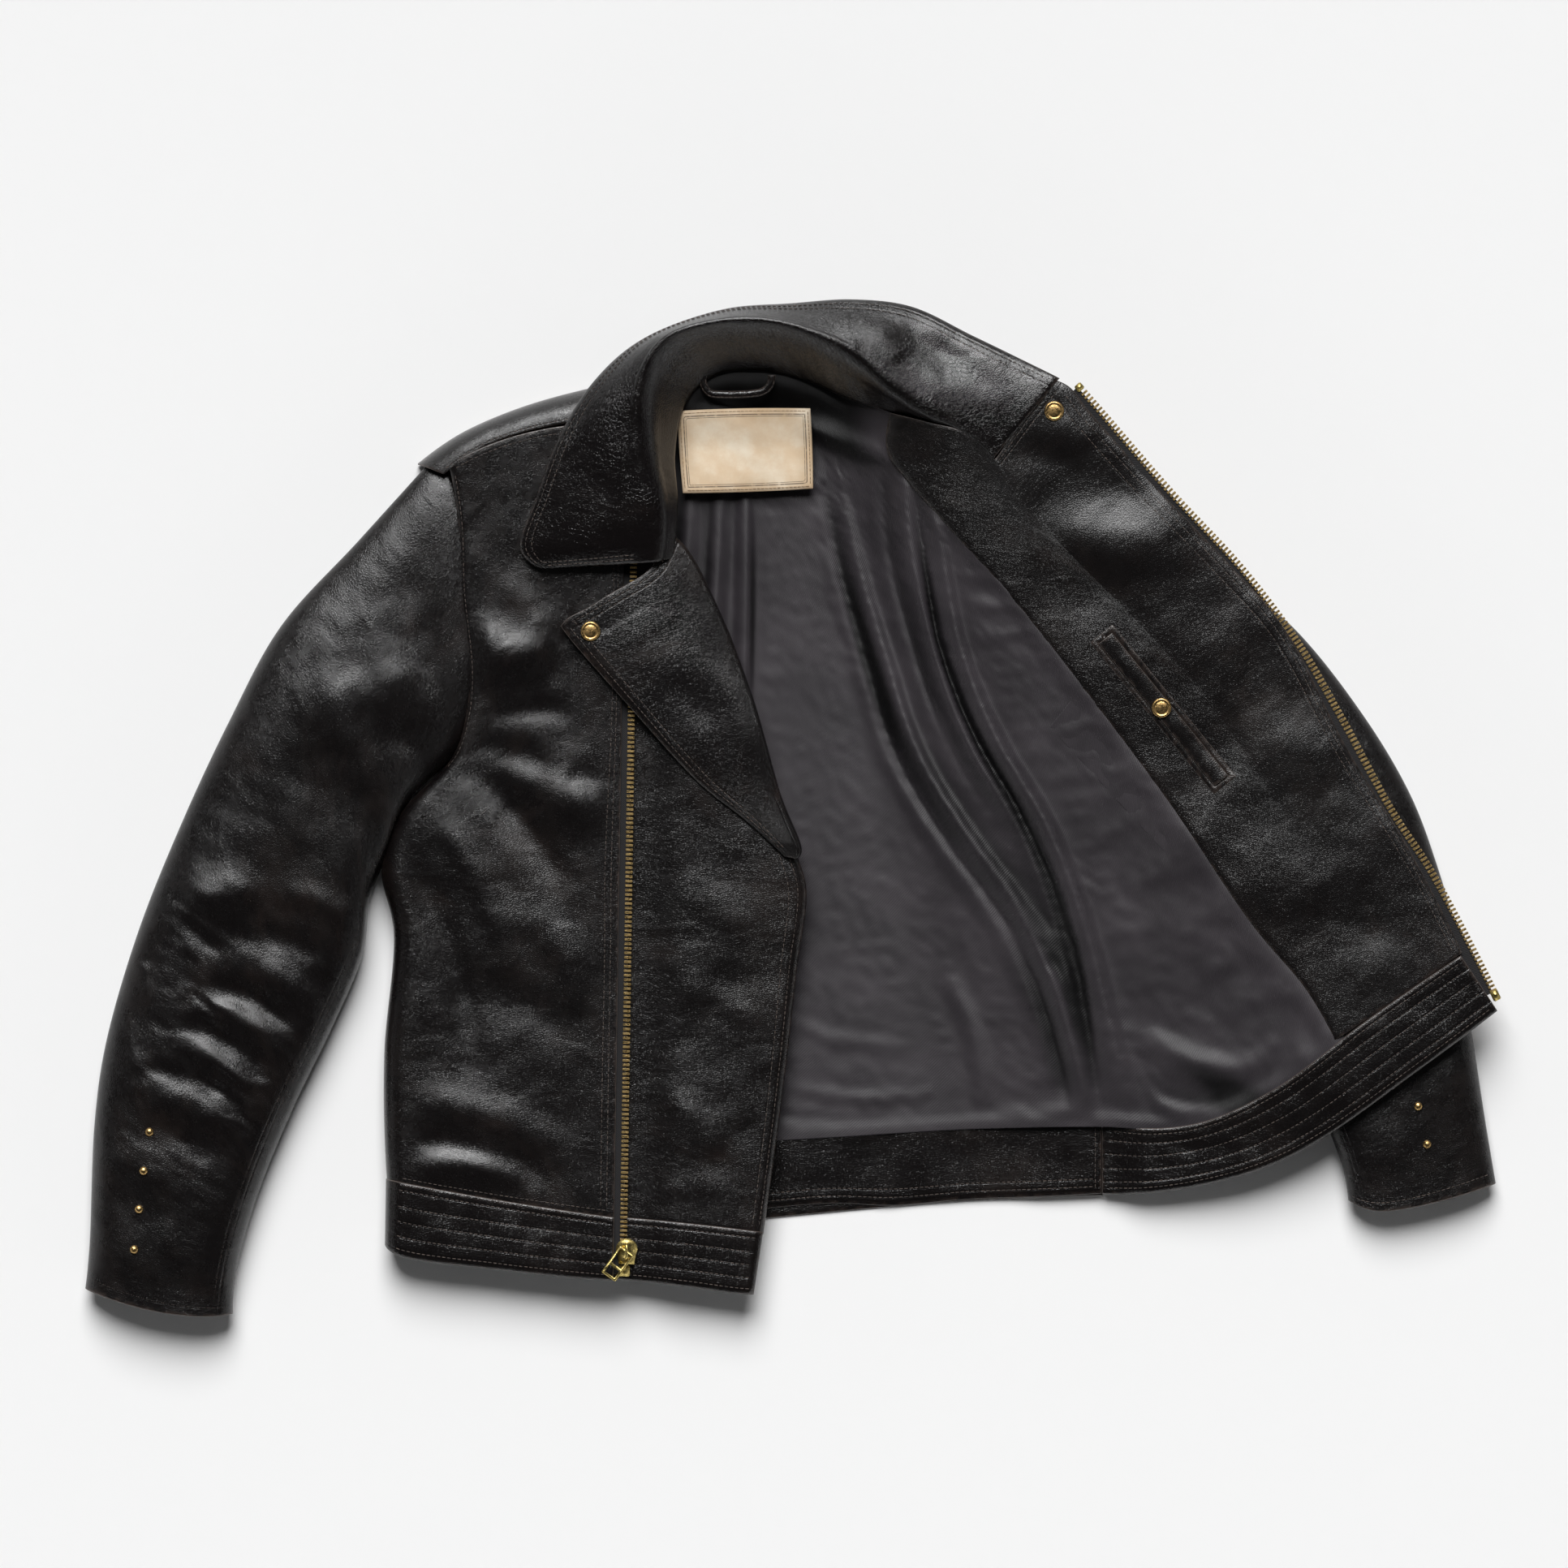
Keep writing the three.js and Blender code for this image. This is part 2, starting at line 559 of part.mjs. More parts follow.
function studRow(side, surface, u, vs) {
  vs.forEach((v, i) => {
    const point = surface(u, v);
    const seat = [point.x, point.y, point.z + SKIN + 0.5];
    place(`${side}_cuff_stud_${i + 1}`, snapCap(STUD_RADIUS, 2.4, 12), seat);
  });
}
studRow("right", sleeveTop(rightSleeve, rightHeights), 0.31, [0.792, 0.839, 0.886, 0.934]);
studRow("left", sleeveTop(leftSleeve, leftHeights), 0.6, [0.775, 0.825, 0.875, 0.925]);

// ---------------------------------------------------------------- label, hanger loop, pocket
add(
  "label",
  sheet(
    lay(patch(line([-80, 232], [16, 236]), line([-84, 293], [14, 295]), line([-80, 232], [-84, 293]),
      line([16, 236], [14, 295])), (u, v) => 12.5 + 3 * v),
    steps(3), steps(2), 0.6,
  ),
  labelCloth(),
);
const loopLine = line(
  [-66, 318, 19], [-64, 309, 18], [-58, 304, 17.5], [-40, 303.5, 17.5], [-24, 304, 17.5], [-16, 309, 18],
  [-14, 317, 19],
);
add("hanger_loop", sheet(beside(loopLine, -2, 2), [0, 1], steps(10), 1.6), leather());

const bagLayer = lay(flap, flapHeight(2.15));
const bag = (u, v) => bagLayer(0.41 + 0.34 * u, 0.42 + 0.3 * v);
add("pocket_bag", sheet(bag, steps(4), steps(4), 0.6), lining());
const pocketLong = line([220, 122], [311, 11]);
const pocketOpen = line([236, 135], [327, 23]);
const welt = lay(between(pocketLong, pocketOpen), () => 44);
add("pocket_welt", sheet(welt, [0, 1], steps(3), LEATHER), leather());
place("pocket_snap", snapCap(SNAP_RADIUS, 2.6), [272, 74, 44 + SKIN]);

export default jacket;
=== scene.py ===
# A short black leather jacket laid on its back on a pale floor, right front closed, left front thrown
# open.
import math

import bmesh
import bpy
import numpy as np
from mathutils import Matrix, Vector


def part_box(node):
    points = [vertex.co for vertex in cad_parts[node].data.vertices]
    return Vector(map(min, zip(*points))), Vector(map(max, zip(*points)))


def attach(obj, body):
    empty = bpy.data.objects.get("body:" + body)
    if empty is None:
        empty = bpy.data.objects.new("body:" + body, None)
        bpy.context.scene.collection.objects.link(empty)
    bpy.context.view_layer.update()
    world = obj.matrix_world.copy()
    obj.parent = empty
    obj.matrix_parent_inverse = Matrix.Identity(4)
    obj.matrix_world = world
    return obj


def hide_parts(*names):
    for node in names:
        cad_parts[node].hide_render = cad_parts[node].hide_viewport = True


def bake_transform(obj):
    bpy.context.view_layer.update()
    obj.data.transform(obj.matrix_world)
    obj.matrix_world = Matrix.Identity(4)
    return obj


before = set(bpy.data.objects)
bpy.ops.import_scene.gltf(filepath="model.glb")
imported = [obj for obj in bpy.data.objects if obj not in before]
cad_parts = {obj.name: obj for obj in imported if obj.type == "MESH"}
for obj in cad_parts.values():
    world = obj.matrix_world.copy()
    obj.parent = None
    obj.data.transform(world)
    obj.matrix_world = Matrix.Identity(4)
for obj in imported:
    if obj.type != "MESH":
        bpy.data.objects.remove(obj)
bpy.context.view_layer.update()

# ------------------------------------------------------------------ right front
# Two hides of cowhide 1.4 mm thick: the main front runs from the side fold to the zip, and the
# underlap from the zip to the front edge. Both are cut from one black-brown side, sewn with two rows
# of brown-black thread.


def edge(*points):
    """A smooth line through points in millimetres, walked by its length from 0 to 1."""
    knots = np.array(points, float)
    spans = np.sqrt(np.linalg.norm(np.diff(knots, axis=0), axis=1))
    at = np.r_[0, np.cumsum(spans)]
    slopes = np.gradient(knots, at, axis=0, edge_order=2 if len(knots) > 2 else 1)
    fine = np.linspace(0, at[-1], 500)
    k = np.clip(np.searchsorted(at, fine, side="right") - 1, 0, len(at) - 2)
    h = (at[k + 1] - at[k])[:, None]
    s = ((fine - at[k]) / (at[k + 1] - at[k]))[:, None]
    walk = (
        (1 + 2 * s) * (1 - s) ** 2 * knots[k] + s * (1 - s) ** 2 * h * slopes[k]
        + s**2 * (3 - 2 * s) * knots[k + 1] - s**2 * (1 - s) * h * slopes[k + 1]
    )
    gone = np.r_[0, np.cumsum(np.linalg.norm(np.diff(walk, axis=0), axis=1))]

    def place(t):
        t = np.clip(np.asarray(t, float), 0, 1) * gone[-1]
        return np.stack([np.interp(t, gone, walk[:, i]) for i in range(knots.shape[1])], -1)

    place.length = gone[-1]
    return place


def chain(*edges):
    """Lines end to end as one, with a sharp corner where they meet."""
    lengths = np.array([part.length for part in edges])
    ends = np.r_[0, np.cumsum(lengths)] / lengths.sum()

    def place(t):
        t = np.clip(np.asarray(t, float), 0, 1)
        k = np.clip(np.searchsorted(ends, t, side="right") - 1, 0, len(edges) - 1)
        local = (t - ends[k]) / (ends[k + 1] - ends[k])
        walked = np.stack([part(local) for part in edges])
        return np.take_along_axis(walked, k[None, ..., None], 0)[0]

    place.length = lengths.sum()
    place.corners = ends[1:-1]
    return place


def patch(foot, head, left, right):
    """A four-sided cut from its edges: foot and head run left to right, left and right run upwards."""

    def place(u, v):
        u, v = np.broadcast_arrays(np.asarray(u, float), np.asarray(v, float))
        a, b = u[..., None], v[..., None]
        corners = (1 - b) * ((1 - a) * foot(0) + a * foot(1)) + b * ((1 - a) * head(0) + a * head(1))
        return foot(u) * (1 - b) + head(u) * b + left(v) * (1 - a) + right(v) * a - corners

    place.width = (foot.length + head.length) / 2
    place.length = (left.length + right.length) / 2
    return place


def raised(plan, z):
    """Places on the floor plan, each with its height."""
    return np.concatenate([plan, z[..., None]], -1)


def ease(low, high, value):
    t = np.clip((value - low) / (high - low), 0, 1)
    return t * t * (3 - 2 * t)


def rumple(x, y, size, seed):
    """Soft unevenness from -1 to 1, with lumps of about that size in millimetres."""
    gx, gy = np.asarray(x) / size + 0.37 * seed, np.asarray(y) / size - 0.61 * seed
    ix, iy = np.floor(gx), np.floor(gy)
    fx, fy = gx - ix, gy - iy
    sx, sy = fx**3 * (fx * (6 * fx - 15) + 10), fy**3 * (fy * (6 * fy - 15) + 10)

    def knot(a, b):
        turn = 2 * math.pi * np.modf(np.abs(np.sin(a * 127.1 + b * 311.7 + seed * 74.7) * 43758.5453))[0]
        return np.cos(turn) * (gx - a) + np.sin(turn) * (gy - b)

    near = knot(ix, iy) * (1 - sx) + knot(ix + 1, iy) * sx
    far = knot(ix, iy + 1) * (1 - sx) + knot(ix + 1, iy + 1) * sx
    return 1.5 * (near * (1 - sy) + far * sy)


def crease(x, y, start, end, width, height):
    """One soft ridge (or, with a height below 0, one valley) from start to end, fading at both ends."""
    dx, dy = end[0] - start[0], end[1] - start[1]
    run = math.hypot(dx, dy)
    t = ((x - start[0]) * dx + (y - start[1]) * dy) / run**2
    across = ((x - start[0]) * dy - (y - start[1]) * dx) / run
    bow = across + 0.06 * run * (1 - (2 * t - 1) ** 2)
    return height * np.exp(-((bow / width) ** 2)) * np.exp(-(((2 * t - 1) / 1.02) ** 4) * 1.6)


def fold(x, y, path, left, right, height):
    """One long fold along a line, which dies away over left mm to its left and right mm to its right."""
    line = path(np.linspace(0, 1, 90))
    way = np.gradient(line, axis=0)
    dx, dy = x[..., None] - line[:, 0], y[..., None] - line[:, 1]
    near = (dx**2 + dy**2).argmin(-1)
    gx, gy = (np.take_along_axis(d, near[..., None], -1)[..., 0] for d in (dx, dy))
    side = way[near, 0] * gy - way[near, 1] * gx
    width = np.where(side > 0, left, right)
    ends = np.sin(np.clip(near / 89, 0.02, 0.98) * math.pi) ** 0.5
    return height * ends * np.exp(-(gx**2 + gy**2) / width**2)


def crumple(x, y, turn, size, long, seed):
    """Fine sharp-topped creases running one way: size mm across and long times as much along."""
    c, s = math.cos(math.radians(turn)), math.sin(math.radians(turn))
    along, across = (x * c + y * s) / long, -x * s + y * c
    across = across + 0.9 * size * rumple(x, y, size * 3.2, seed + 5)
    ridge = 1 - 2.2 * np.sqrt(rumple(along, across, size, seed) ** 2 + 0.03)
    return ridge * (0.45 + 0.55 * rumple(x, y, size * 4, seed + 9))


def near_rows(distance, *rows):
    """How far a place is from the nearest row of stitches, from its distance to the rim, up to 4 mm."""
    return np.minimum(4.0, np.abs(np.asarray(distance)[..., None] - np.array(rows)).min(-1))


def spread(length, step, rims=(0, 0.12, 0.4, 0.8), corners=()):
    """Places from 0 to 1 along a cut of that length, closer at its two rims, with one on each corner."""
    rim = np.array(rims) / length
    inner = np.linspace(rim[-1], 1 - rim[-1], max(3, int(length / step)) + 1)[1:-1]
    for corner in corners:
        inner[np.argmin(np.abs(inner - corner))] = corner
    return np.r_[rim, inner, 1 - rim[::-1]]


def quads(grid):
    """The four-cornered faces of a grid of point numbers."""
    return np.stack([grid[:-1, :-1], grid[:-1, 1:], grid[1:, 1:], grid[1:, :-1]], -1).reshape(-1, 4)


def build(name, points, faces, maps=None, values=None, map_faces=None):
    """A mesh object from points in millimetres; maps are the places of its corners on the flat cut."""
    mesh = bpy.data.meshes.new(name)
    mesh.vertices.add(len(points))
    mesh.vertices.foreach_set("co", (np.asarray(points) * 0.001).astype(np.float32).ravel())
    faces = np.asarray(faces)
    mesh.loops.add(faces.size)
    mesh.loops.foreach_set("vertex_index", faces.ravel().astype(np.int32))
    mesh.polygons.add(len(faces))
    mesh.polygons.foreach_set("loop_start", np.arange(0, faces.size, faces.shape[1], dtype=np.int32))
    mesh.update(calc_edges=True)
    mesh.polygons.foreach_set("use_smooth", np.ones(len(faces), bool))
    if maps is not None:
        layer = mesh.uv_layers.new(name="cut")
        corners = (faces if map_faces is None else map_faces).ravel()
        layer.data.foreach_set("uv", (np.asarray(maps)[corners] * 0.001).astype(np.float32).ravel())
    for label, amounts in (values or {}).items():
        mesh.attributes.new(label, "FLOAT", "POINT").data.foreach_set(
            "value", np.asarray(amounts, np.float32)
        )
    mesh.validate()
    thing = bpy.data.objects.new(name, mesh)
    bpy.context.scene.collection.objects.link(thing)
    return thing


def hide(name, surface, width, length, thickness, step=3.0, us=None, vs=None, side=None, settle=None):
    """A cut of leather or cloth lying on surface(u, v), with rolled rims all round."""
    us = spread(width, step) if us is None else us
    vs = spread(length, step) if vs is None else vs
    u, v = np.meshgrid(us, vs)
    core = surface(u, v)
    if settle:
        core = settle(core, u, v)
    normal = np.cross(np.gradient(core, axis=1), np.gradient(core, axis=0))
    normal /= np.maximum(np.linalg.norm(normal, axis=-1, keepdims=True), 1e-9)
    rim = np.minimum(np.minimum(u, 1 - u) * width, np.minimum(v, 1 - v) * length)
    half = thickness / 2
    full = half * np.sqrt(1 - (1 - np.clip(rim / half, 0, 1)) ** 2)
    rows, cols = u.shape
    top = np.arange(rows * cols).reshape(rows, cols)
    inner = np.zeros((rows, cols), bool)
    inner[1:-1, 1:-1] = True
    low = top.copy()
    low[inner] = rows * cols + np.arange(inner.sum())
    points = np.concatenate(
        [(core + normal * full[..., None]).reshape(-1, 3), (core - normal * full[..., None])[inner]]
    )

    faces = np.concatenate([quads(top), quads(low)[:, ::-1]])
    cut = np.stack([u * width, v * length], -1)
    maps = np.concatenate([cut.reshape(-1, 2), cut[inner] + 700])
    rims = np.concatenate([rim.ravel(), rim[inner]])
    seam = 4.0 + 0 * u if side is None else side(u, v) + 0 * u
    seams = np.concatenate([seam.ravel(), seam[inner]])
    return build(name, points, faces, maps, {"rim": rims, "seam": seams})


def dress(piece, finish, slot, *nodes, place="body"):
    """Gives a piece its finish, hangs it on the body that carries it (a fold place only bakes its
    transform), and hides the solids that it stands for.
    """
    piece.data.materials.append(finish)
    if isinstance(place, str):
        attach(piece, place)
    else:
        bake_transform(piece)
    if nodes:
        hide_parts(*nodes)


threads = {}


def sew(key, surface, path_u, path_v, lift=0.75, pitch=3.8):
    """One row of stitches on a surface, along a path of u and v; rows with one key are one thread."""
    u, v = np.broadcast_arrays(np.asarray(path_u, float), np.asarray(path_v, float))
    fine = np.linspace(0, len(u) - 1, 900)
    u, v = np.interp(fine, np.arange(len(u)), u), np.interp(fine, np.arange(len(v)), v)
    line = surface(u, v)
    du = surface(np.minimum(u + 0.004, 1), v) - surface(np.maximum(u - 0.004, 0), v)
    dv = surface(u, np.minimum(v + 0.002, 1)) - surface(u, np.maximum(v - 0.002, 0))
    up = np.cross(du, dv)
    up /= np.maximum(np.linalg.norm(up, axis=-1, keepdims=True), 1e-9)
    gone = np.r_[0, np.cumsum(np.linalg.norm(np.diff(line, axis=0), axis=1))]
    at = np.arange(pitch, gone[-1] - pitch / 2, pitch)
    middle = np.stack([np.interp(at, gone, (line + up * lift)[:, i]) for i in range(3)], -1)
    ahead = np.stack(
        [
            np.interp(at + 1.2, gone, line[:, i]) - np.interp(at - 1.2, gone, line[:, i])
            for i in range(3)
        ],
        -1
    )
    normal = np.stack([np.interp(at, gone, up[:, i]) for i in range(3)], -1)
    threads.setdefault(key, []).append((middle, ahead, normal))


class Tone:
    """A shader socket that can be used in sums, so that a mask reads as plain arithmetic."""

    tree = None

    def __init__(self, socket):
        self.socket = socket

    @classmethod
    def node(cls, kind, settings=None, out=0, **sockets):
        made = cls.tree.nodes.new(kind)
        for key, value in (settings or {}).items():
            if key == "stops":
                while len(made.color_ramp.elements) < len(value):
                    made.color_ramp.elements.new(0.5)
                for stop, (at, colour) in zip(made.color_ramp.elements, value):
                    stop.position, stop.color = at, colour
            else:
                setattr(made, key, value)
        for key, value in sockets.items():
            found = made.inputs[int(key[1:])] if key[0] == "_" else made.inputs[key.replace("_", " ")]
            if isinstance(value, Tone):
                cls.tree.links.new(value.socket, found)
            else:
                found.default_value = value
        return cls(made.outputs[out])

    def _math(self, operation, other, swap=False):
        a, b = (other, self) if swap else (self, other)
        return Tone.node("ShaderNodeMath", {"operation": operation}, _0=a, _1=b)

    def __add__(self, other):
        return self._math("ADD", other)

    def __mul__(self, other):
        return self._math("MULTIPLY", other)

    __rmul__ = __mul__

    def __sub__(self, other):
        return self._math("SUBTRACT", other)

    def __rsub__(self, other):
        return self._math("SUBTRACT", other, swap=True)

    def between(self, low, high, to_low=0.0, to_high=1.0):
        return Tone.node(
            "ShaderNodeMapRange", {"interpolation_type": "SMOOTHSTEP"}, Value=self, From_Min=low,
            From_Max=high, To_Min=to_low, To_Max=to_high
        )

    def mix(self, first, second):
        return Tone.node("ShaderNodeMix", {"data_type": "RGBA"}, out=2, _0=self, _6=first, _7=second)


def cut_map(scale=(1, 1, 1), turn=0.0):
    place = Tone.node("ShaderNodeUVMap", {"uv_map": "cut"})
    return Tone.node("ShaderNodeMapping", Vector=place, Scale=scale, Rotation=(0, 0, turn))


def clouds(scale, detail=3.0, place=None, rough=0.5, twist=0.0):
    return Tone.node(
        "ShaderNodeTexNoise", Vector=place or cut_map(), Scale=scale, Detail=detail, Roughness=rough,
        Distortion=twist
    )


def amount(label):
    return Tone.node("ShaderNodeAttribute", {"attribute_name": label}, out=2)


def new_finish(name):
    made = bpy.data.materials.new(name)
    made.use_nodes = True
    Tone.tree = made.node_tree
    made.node_tree.nodes.clear()
    return made


def body_of(**sockets):
    """The surface of a finish, joined to its output; heights arrive as Normal from a Bump."""
    shader = Tone.node("ShaderNodeBsdfPrincipled", **sockets)
    end = Tone.tree.nodes.new("ShaderNodeOutputMaterial")
    Tone.tree.links.new(shader.socket, end.inputs["Surface"])


def bump(height, distance, **under):
    return Tone.node("ShaderNodeBump", Height=height, Distance=distance, **under)


def leather(name, gloss=0.32, brown=0.5, crackle=0.0, grain=1.0, creasing=1.0):
    """Black-brown pull-up cowhide: pebbled grain, fine creases, rubbed brown, with pale raw rims."""
    made = new_finish(name)
    rim, seam = amount("rim"), amount("seam")
    wavy = Tone.node(
        "ShaderNodeMix", {"data_type": "VECTOR"}, out=1, _0=0.0016, _4=cut_map(), _5=clouds(320, 2)
    )
    pebble = Tone.node(
        "ShaderNodeTexVoronoi", {"feature": "DISTANCE_TO_EDGE"}, Vector=wavy, Scale=760 * grain
    )
    pebble = pebble.between(0.0, 0.3)
    wrinkle = clouds(46, 5, cut_map((1, 2.6, 1), 0.5), 0.62, 1.4).between(0.44, 0.56)
    rubbed = clouds(13, 6, rough=0.68, twist=0.5).between(0.46, 0.74)
    patchy = clouds(5.5, 4, rough=0.6).between(0.35, 0.68)
    raw = 1 - rim.between(0.1, 0.6)
    scuffed = (1 - rim.between(0.6, 3.2)) * clouds(160, 3).between(0.4, 0.62)
    row = 1 - seam.between(0.1, 1.3)
    pull = clouds(420, 2).between(0.35, 0.65) * (1 - seam.between(2.0, 4.0)) * seam.between(0.6, 1.4)
    tint = (rubbed * brown).mix((0.0036, 0.0026, 0.0026, 1), (0.0180, 0.0105, 0.0080, 1))
    tint = (patchy * 0.5).mix(tint, (0.0016, 0.0013, 0.0014, 1))
    tint = (scuffed * 0.45).mix(tint, (0.050, 0.036, 0.030, 1))
    tint = (raw * 0.65).mix(tint, (0.115, 0.090, 0.078, 1))
    dents = clouds(26, 2, cut_map((1, 1.5, 1), 0.4), 0.45, 0.6)
    height = pebble * 0.62 + wrinkle * (0.11 * creasing) + clouds(1700, 2) * 0.08 - row * 1.2 + pull * 0.4
    if crackle:
        shards = Tone.node(
            "ShaderNodeTexVoronoi", {"feature": "DISTANCE_TO_EDGE"}, Vector=wavy, Scale=190,
            Randomness=1.0
        ).between(0.0, 0.07)
        height = height + shards * (crackle * clouds(22, 3).between(0.42, 0.6))
    rough = clouds(60, 5, rough=0.7) * 0.14 + rubbed * 0.07 + (gloss - 0.12) + raw * 0.25
    creased = bump(dents * creasing, 0.0010)
    body_of(
        Base_Color=tint, Roughness=rough, Normal=bump(height, 0.00011, Normal=creased),
        Specular_IOR_Level=0.62
    )
    return made


main_leather = leather("main_leather")
FRONT = 28.4
FRONT_WIDE, FRONT_LONG = 178, 560
ZIP_FOOT, ZIP_HEAD = np.array([-124.0, -340.0]), np.array([-115.5, 228.0])


def zip_x(y):
    return ZIP_FOOT[0] + (y - ZIP_FOOT[1]) * (ZIP_HEAD - ZIP_FOOT)[0] / (ZIP_HEAD - ZIP_FOOT)[1]


def slack(x, y, seed, large=2.4):
    """How an unpressed hide lies: broad swells with smaller dents in them."""
    small = 0.55 * large * rumple(x, y, 37, seed + 1) + 0.2 * large * rumple(x, y, 15, seed + 2)
    return large * rumple(x, y, 82, seed) + small


right_front_cut = patch(
    edge([-298, -274], [-214, -289], [zip_x(-301) - 7, -301]),
    edge([-252, 253], [-227, 266], [-201, 275], [-165, 282], [zip_x(284) - 7, 284]),
    edge(
        [-298, -274], [-300, -182], [-293, -91], [-302, -43], [-288, -4], [-249, 38], [-239, 70],
        [-237, 102], [-243, 158], [-245, 209], [-252, 253]
    ),
    edge([zip_x(-301) - 7, -301], [zip_x(284) - 7, 284])
)


def side_roll(d, y, top):
    """The fold at the right side, where the front turns down to the back, and the dip at the armhole."""
    fold = 13.2 + (top - 13.2) * np.sqrt(1 - (1 - np.clip(d / 17, 0, 1)) ** 2)
    dip = top - 2.6 * (1 - np.clip(d / 8, 0, 1)) ** 2
    down = 1 - ease(18, 52, y)
    return fold * down + dip * (1 - down)


FRONT_CREASES = [
    ((-240, 118), (-178, 108), 20, 6.5), ((-182, 10), (-134, -8), 17, 4.6),
    ((-272, -262), (-196, -270), 14, 5.0), ((-240, 34), (-170, -60), 13, -5.0),
    ((-236, 46), (-176, 26), 12, -3.0), ((-206, 30), (-168, 8), 13, 2.0),
    ((-262, -6), (-205, -120), 12, 3.6), ((-285, -30), (-235, -190), 12, -3.8),
    ((-166, 24), (-140, 16), 9, -1.6), ((-232, 92), (-170, 120), 13, 2.4),
    ((-225, 66), (-160, 70), 9, -2.4), ((-275, -215), (-170, -250), 15, 3.4),
    ((-282, -246), (-180, -272), 9, -2.6), ((-250, -130), (-160, -170), 17, -2.6),
    ((-200, -70), (-150, -140), 14, 2.6), ((-212, 170), (-182, 120), 12, 2.6),
    ((-190, 232), (-150, 190), 12, -2.0)
]


def right_front(u, v):
    plan = right_front_cut(u, v)
    x, y = plan[..., 0], plan[..., 1]
    free = ease(0, 34, zip_x(y) - 7 - x) * ease(0, 30, u * FRONT_WIDE)
    top = FRONT + slack(x, y, 3, 1.0) * free
    for start, end, width, height in FRONT_CREASES:
        top = top + 0.85 * crease(x, y, start, end, width, height) * free
    z = side_roll(u * FRONT_WIDE, y, top)
    return raised(plan, z)


SIDE_RIMS = (0, 0.12, 0.4, 0.8, 1.6, 2.8, 4.6)
panel = hide(
    "right_front_leather", right_front, FRONT_WIDE, FRONT_LONG, 1.5,
    us=spread(FRONT_WIDE, 2.6, SIDE_RIMS), vs=spread(FRONT_LONG, 2.8),
    side=lambda u, v: np.minimum(
        near_rows((1 - u) * FRONT_WIDE, 6.0, 10.6), near_rows((1 - v) * FRONT_LONG, 5.0)
    )
)
dress(panel, main_leather, "black_leather", "right_front_panel")

underlap_cut = patch(
    edge([-142, -302], [-80, -307], [-21, -314]), edge([-134, 212], [-98, 218]),
    edge([-142, -302], [-134, 212]),
    edge(
        [-21, -314], [-4, -190], [4, -118], [11, -60], [4, -34], [-8, 7], [-29, 82], [-56, 151],
        [-98, 218]
    )
)
UNDERLAP_CREASES = [
    ((-100, -210), (-40, -260), 13, 2.4), ((-40, -110), (-95, -190), 15, -2.4),
    ((-90, -60), (-30, -90), 15, 2.2), ((-60, -270), (-25, -230), 9, -2.0),
    ((-104, 20), (-50, -30), 14, -1.8), ((-88, -130), (-20, -160), 9, 1.8),
    ((-108, -285), (-45, -280), 9, 2.0)
]


def underlap_z(x, y):
    """Low beside the zip, so that the slider runs clear, and level with the main front further out."""
    away = x - zip_x(y)
    top = 21.6 + 5.0 * ease(10, 42, away)
    free = ease(14, 46, away)
    top = top + slack(x, y, 11, 0.9) * free
    for start, end, width, height in UNDERLAP_CREASES:
        top = top + 0.5 * crease(x, y, start, end, width, height) * free
    return top


def underlap(u, v):
    plan = underlap_cut(u, v)
    x, y = plan[..., 0], plan[..., 1]
    z = underlap_z(x, y) - 4.2 * (1 - np.clip((1 - u) * 130 / 7, 0, 1)) ** 2
    return raised(plan, z)


underlap_piece = hide(
    "right_underlap_leather", underlap, 125, 560, 2.6, step=2.8, us=spread(125, 2.6, SIDE_RIMS),
    side=lambda u, v: np.where(v < 0.53, near_rows((1 - u) * (70 + 60 * (1 - v)), 4.5, 9.0), 4.0)
)
dress(underlap_piece, main_leather, "black_leather", "right_front_underlap")


# ------------------------------------------------------------------ right front, inside
# The leather facing behind the front edge and the twill lining behind the main front, seen at the
# neck and hem.
def twill(name, sheen=0.34):
    """Rayon twill: fine diagonal ribs, a satin sheen and faint press marks in its bump, with painted shade
    where the seam value is low.
    """
    made = new_finish(name)
    rib = Tone.node(
        "ShaderNodeTexWave", {"wave_type": "BANDS", "bands_direction": "X"},
        Vector=cut_map((1, 1, 1), 0.9), Scale=260, Distortion=0.35, Detail=1.0
    )
    thread = Tone.node(
        "ShaderNodeTexWave", {"bands_direction": "Y"}, Vector=cut_map(), Scale=700, Distortion=0.2
    )
    cloud = clouds(16, 4, rough=0.6)
    tint = cloud.between(0.35, 0.7).mix((0.028, 0.0245, 0.0280, 1), (0.046, 0.0400, 0.0455, 1))
    tint = (rib * 0.35).mix(tint, (0.014, 0.012, 0.014, 1))
    # Painted shade: the colour darkens to near black where the seam value falls below 3.6; on the body
    # lining this carries the painted shadows of its folds and neck.
    tint = (1 - amount("seam").between(0.0, 3.6)).mix(tint, (0.0012, 0.0010, 0.0012, 1))
    height = rib * 0.6 + thread * 0.3 + clouds(90, 4, rough=0.6) * 1.4
    body_of(
        Base_Color=tint, Roughness=cloud * 0.14 + (sheen + 0.02), Normal=bump(height, 0.0001),
        Sheen_Weight=0.02, Sheen_Roughness=0.4, Specular_IOR_Level=0.36
    )
    return made


lining_cloth = twill("lining_cloth")
facing_cut = patch(
    edge([-79, -304], [-23, -311]), edge([-118, 205], [-99, 212]),
    edge([-79, -304], [-64, -100], [-70, 60], [-118, 205]),
    edge(
        [-23, -311], [-6, -190], [2, -118], [9, -60], [2, -34], [-10, 7], [-31, 82], [-58, 151],
        [-99, 212]
    )
)
inside_cut = patch(
    edge([-272, -262], [-150, -272], [-81, -276]), edge([-228, 235], [-180, 250], [-121, 222]),
    edge([-272, -262], [-276, -100], [-262, -20], [-226, 40], [-220, 160], [-228, 235]),
    edge([-81, -276], [-66, -100], [-72, 60], [-121, 205])
)


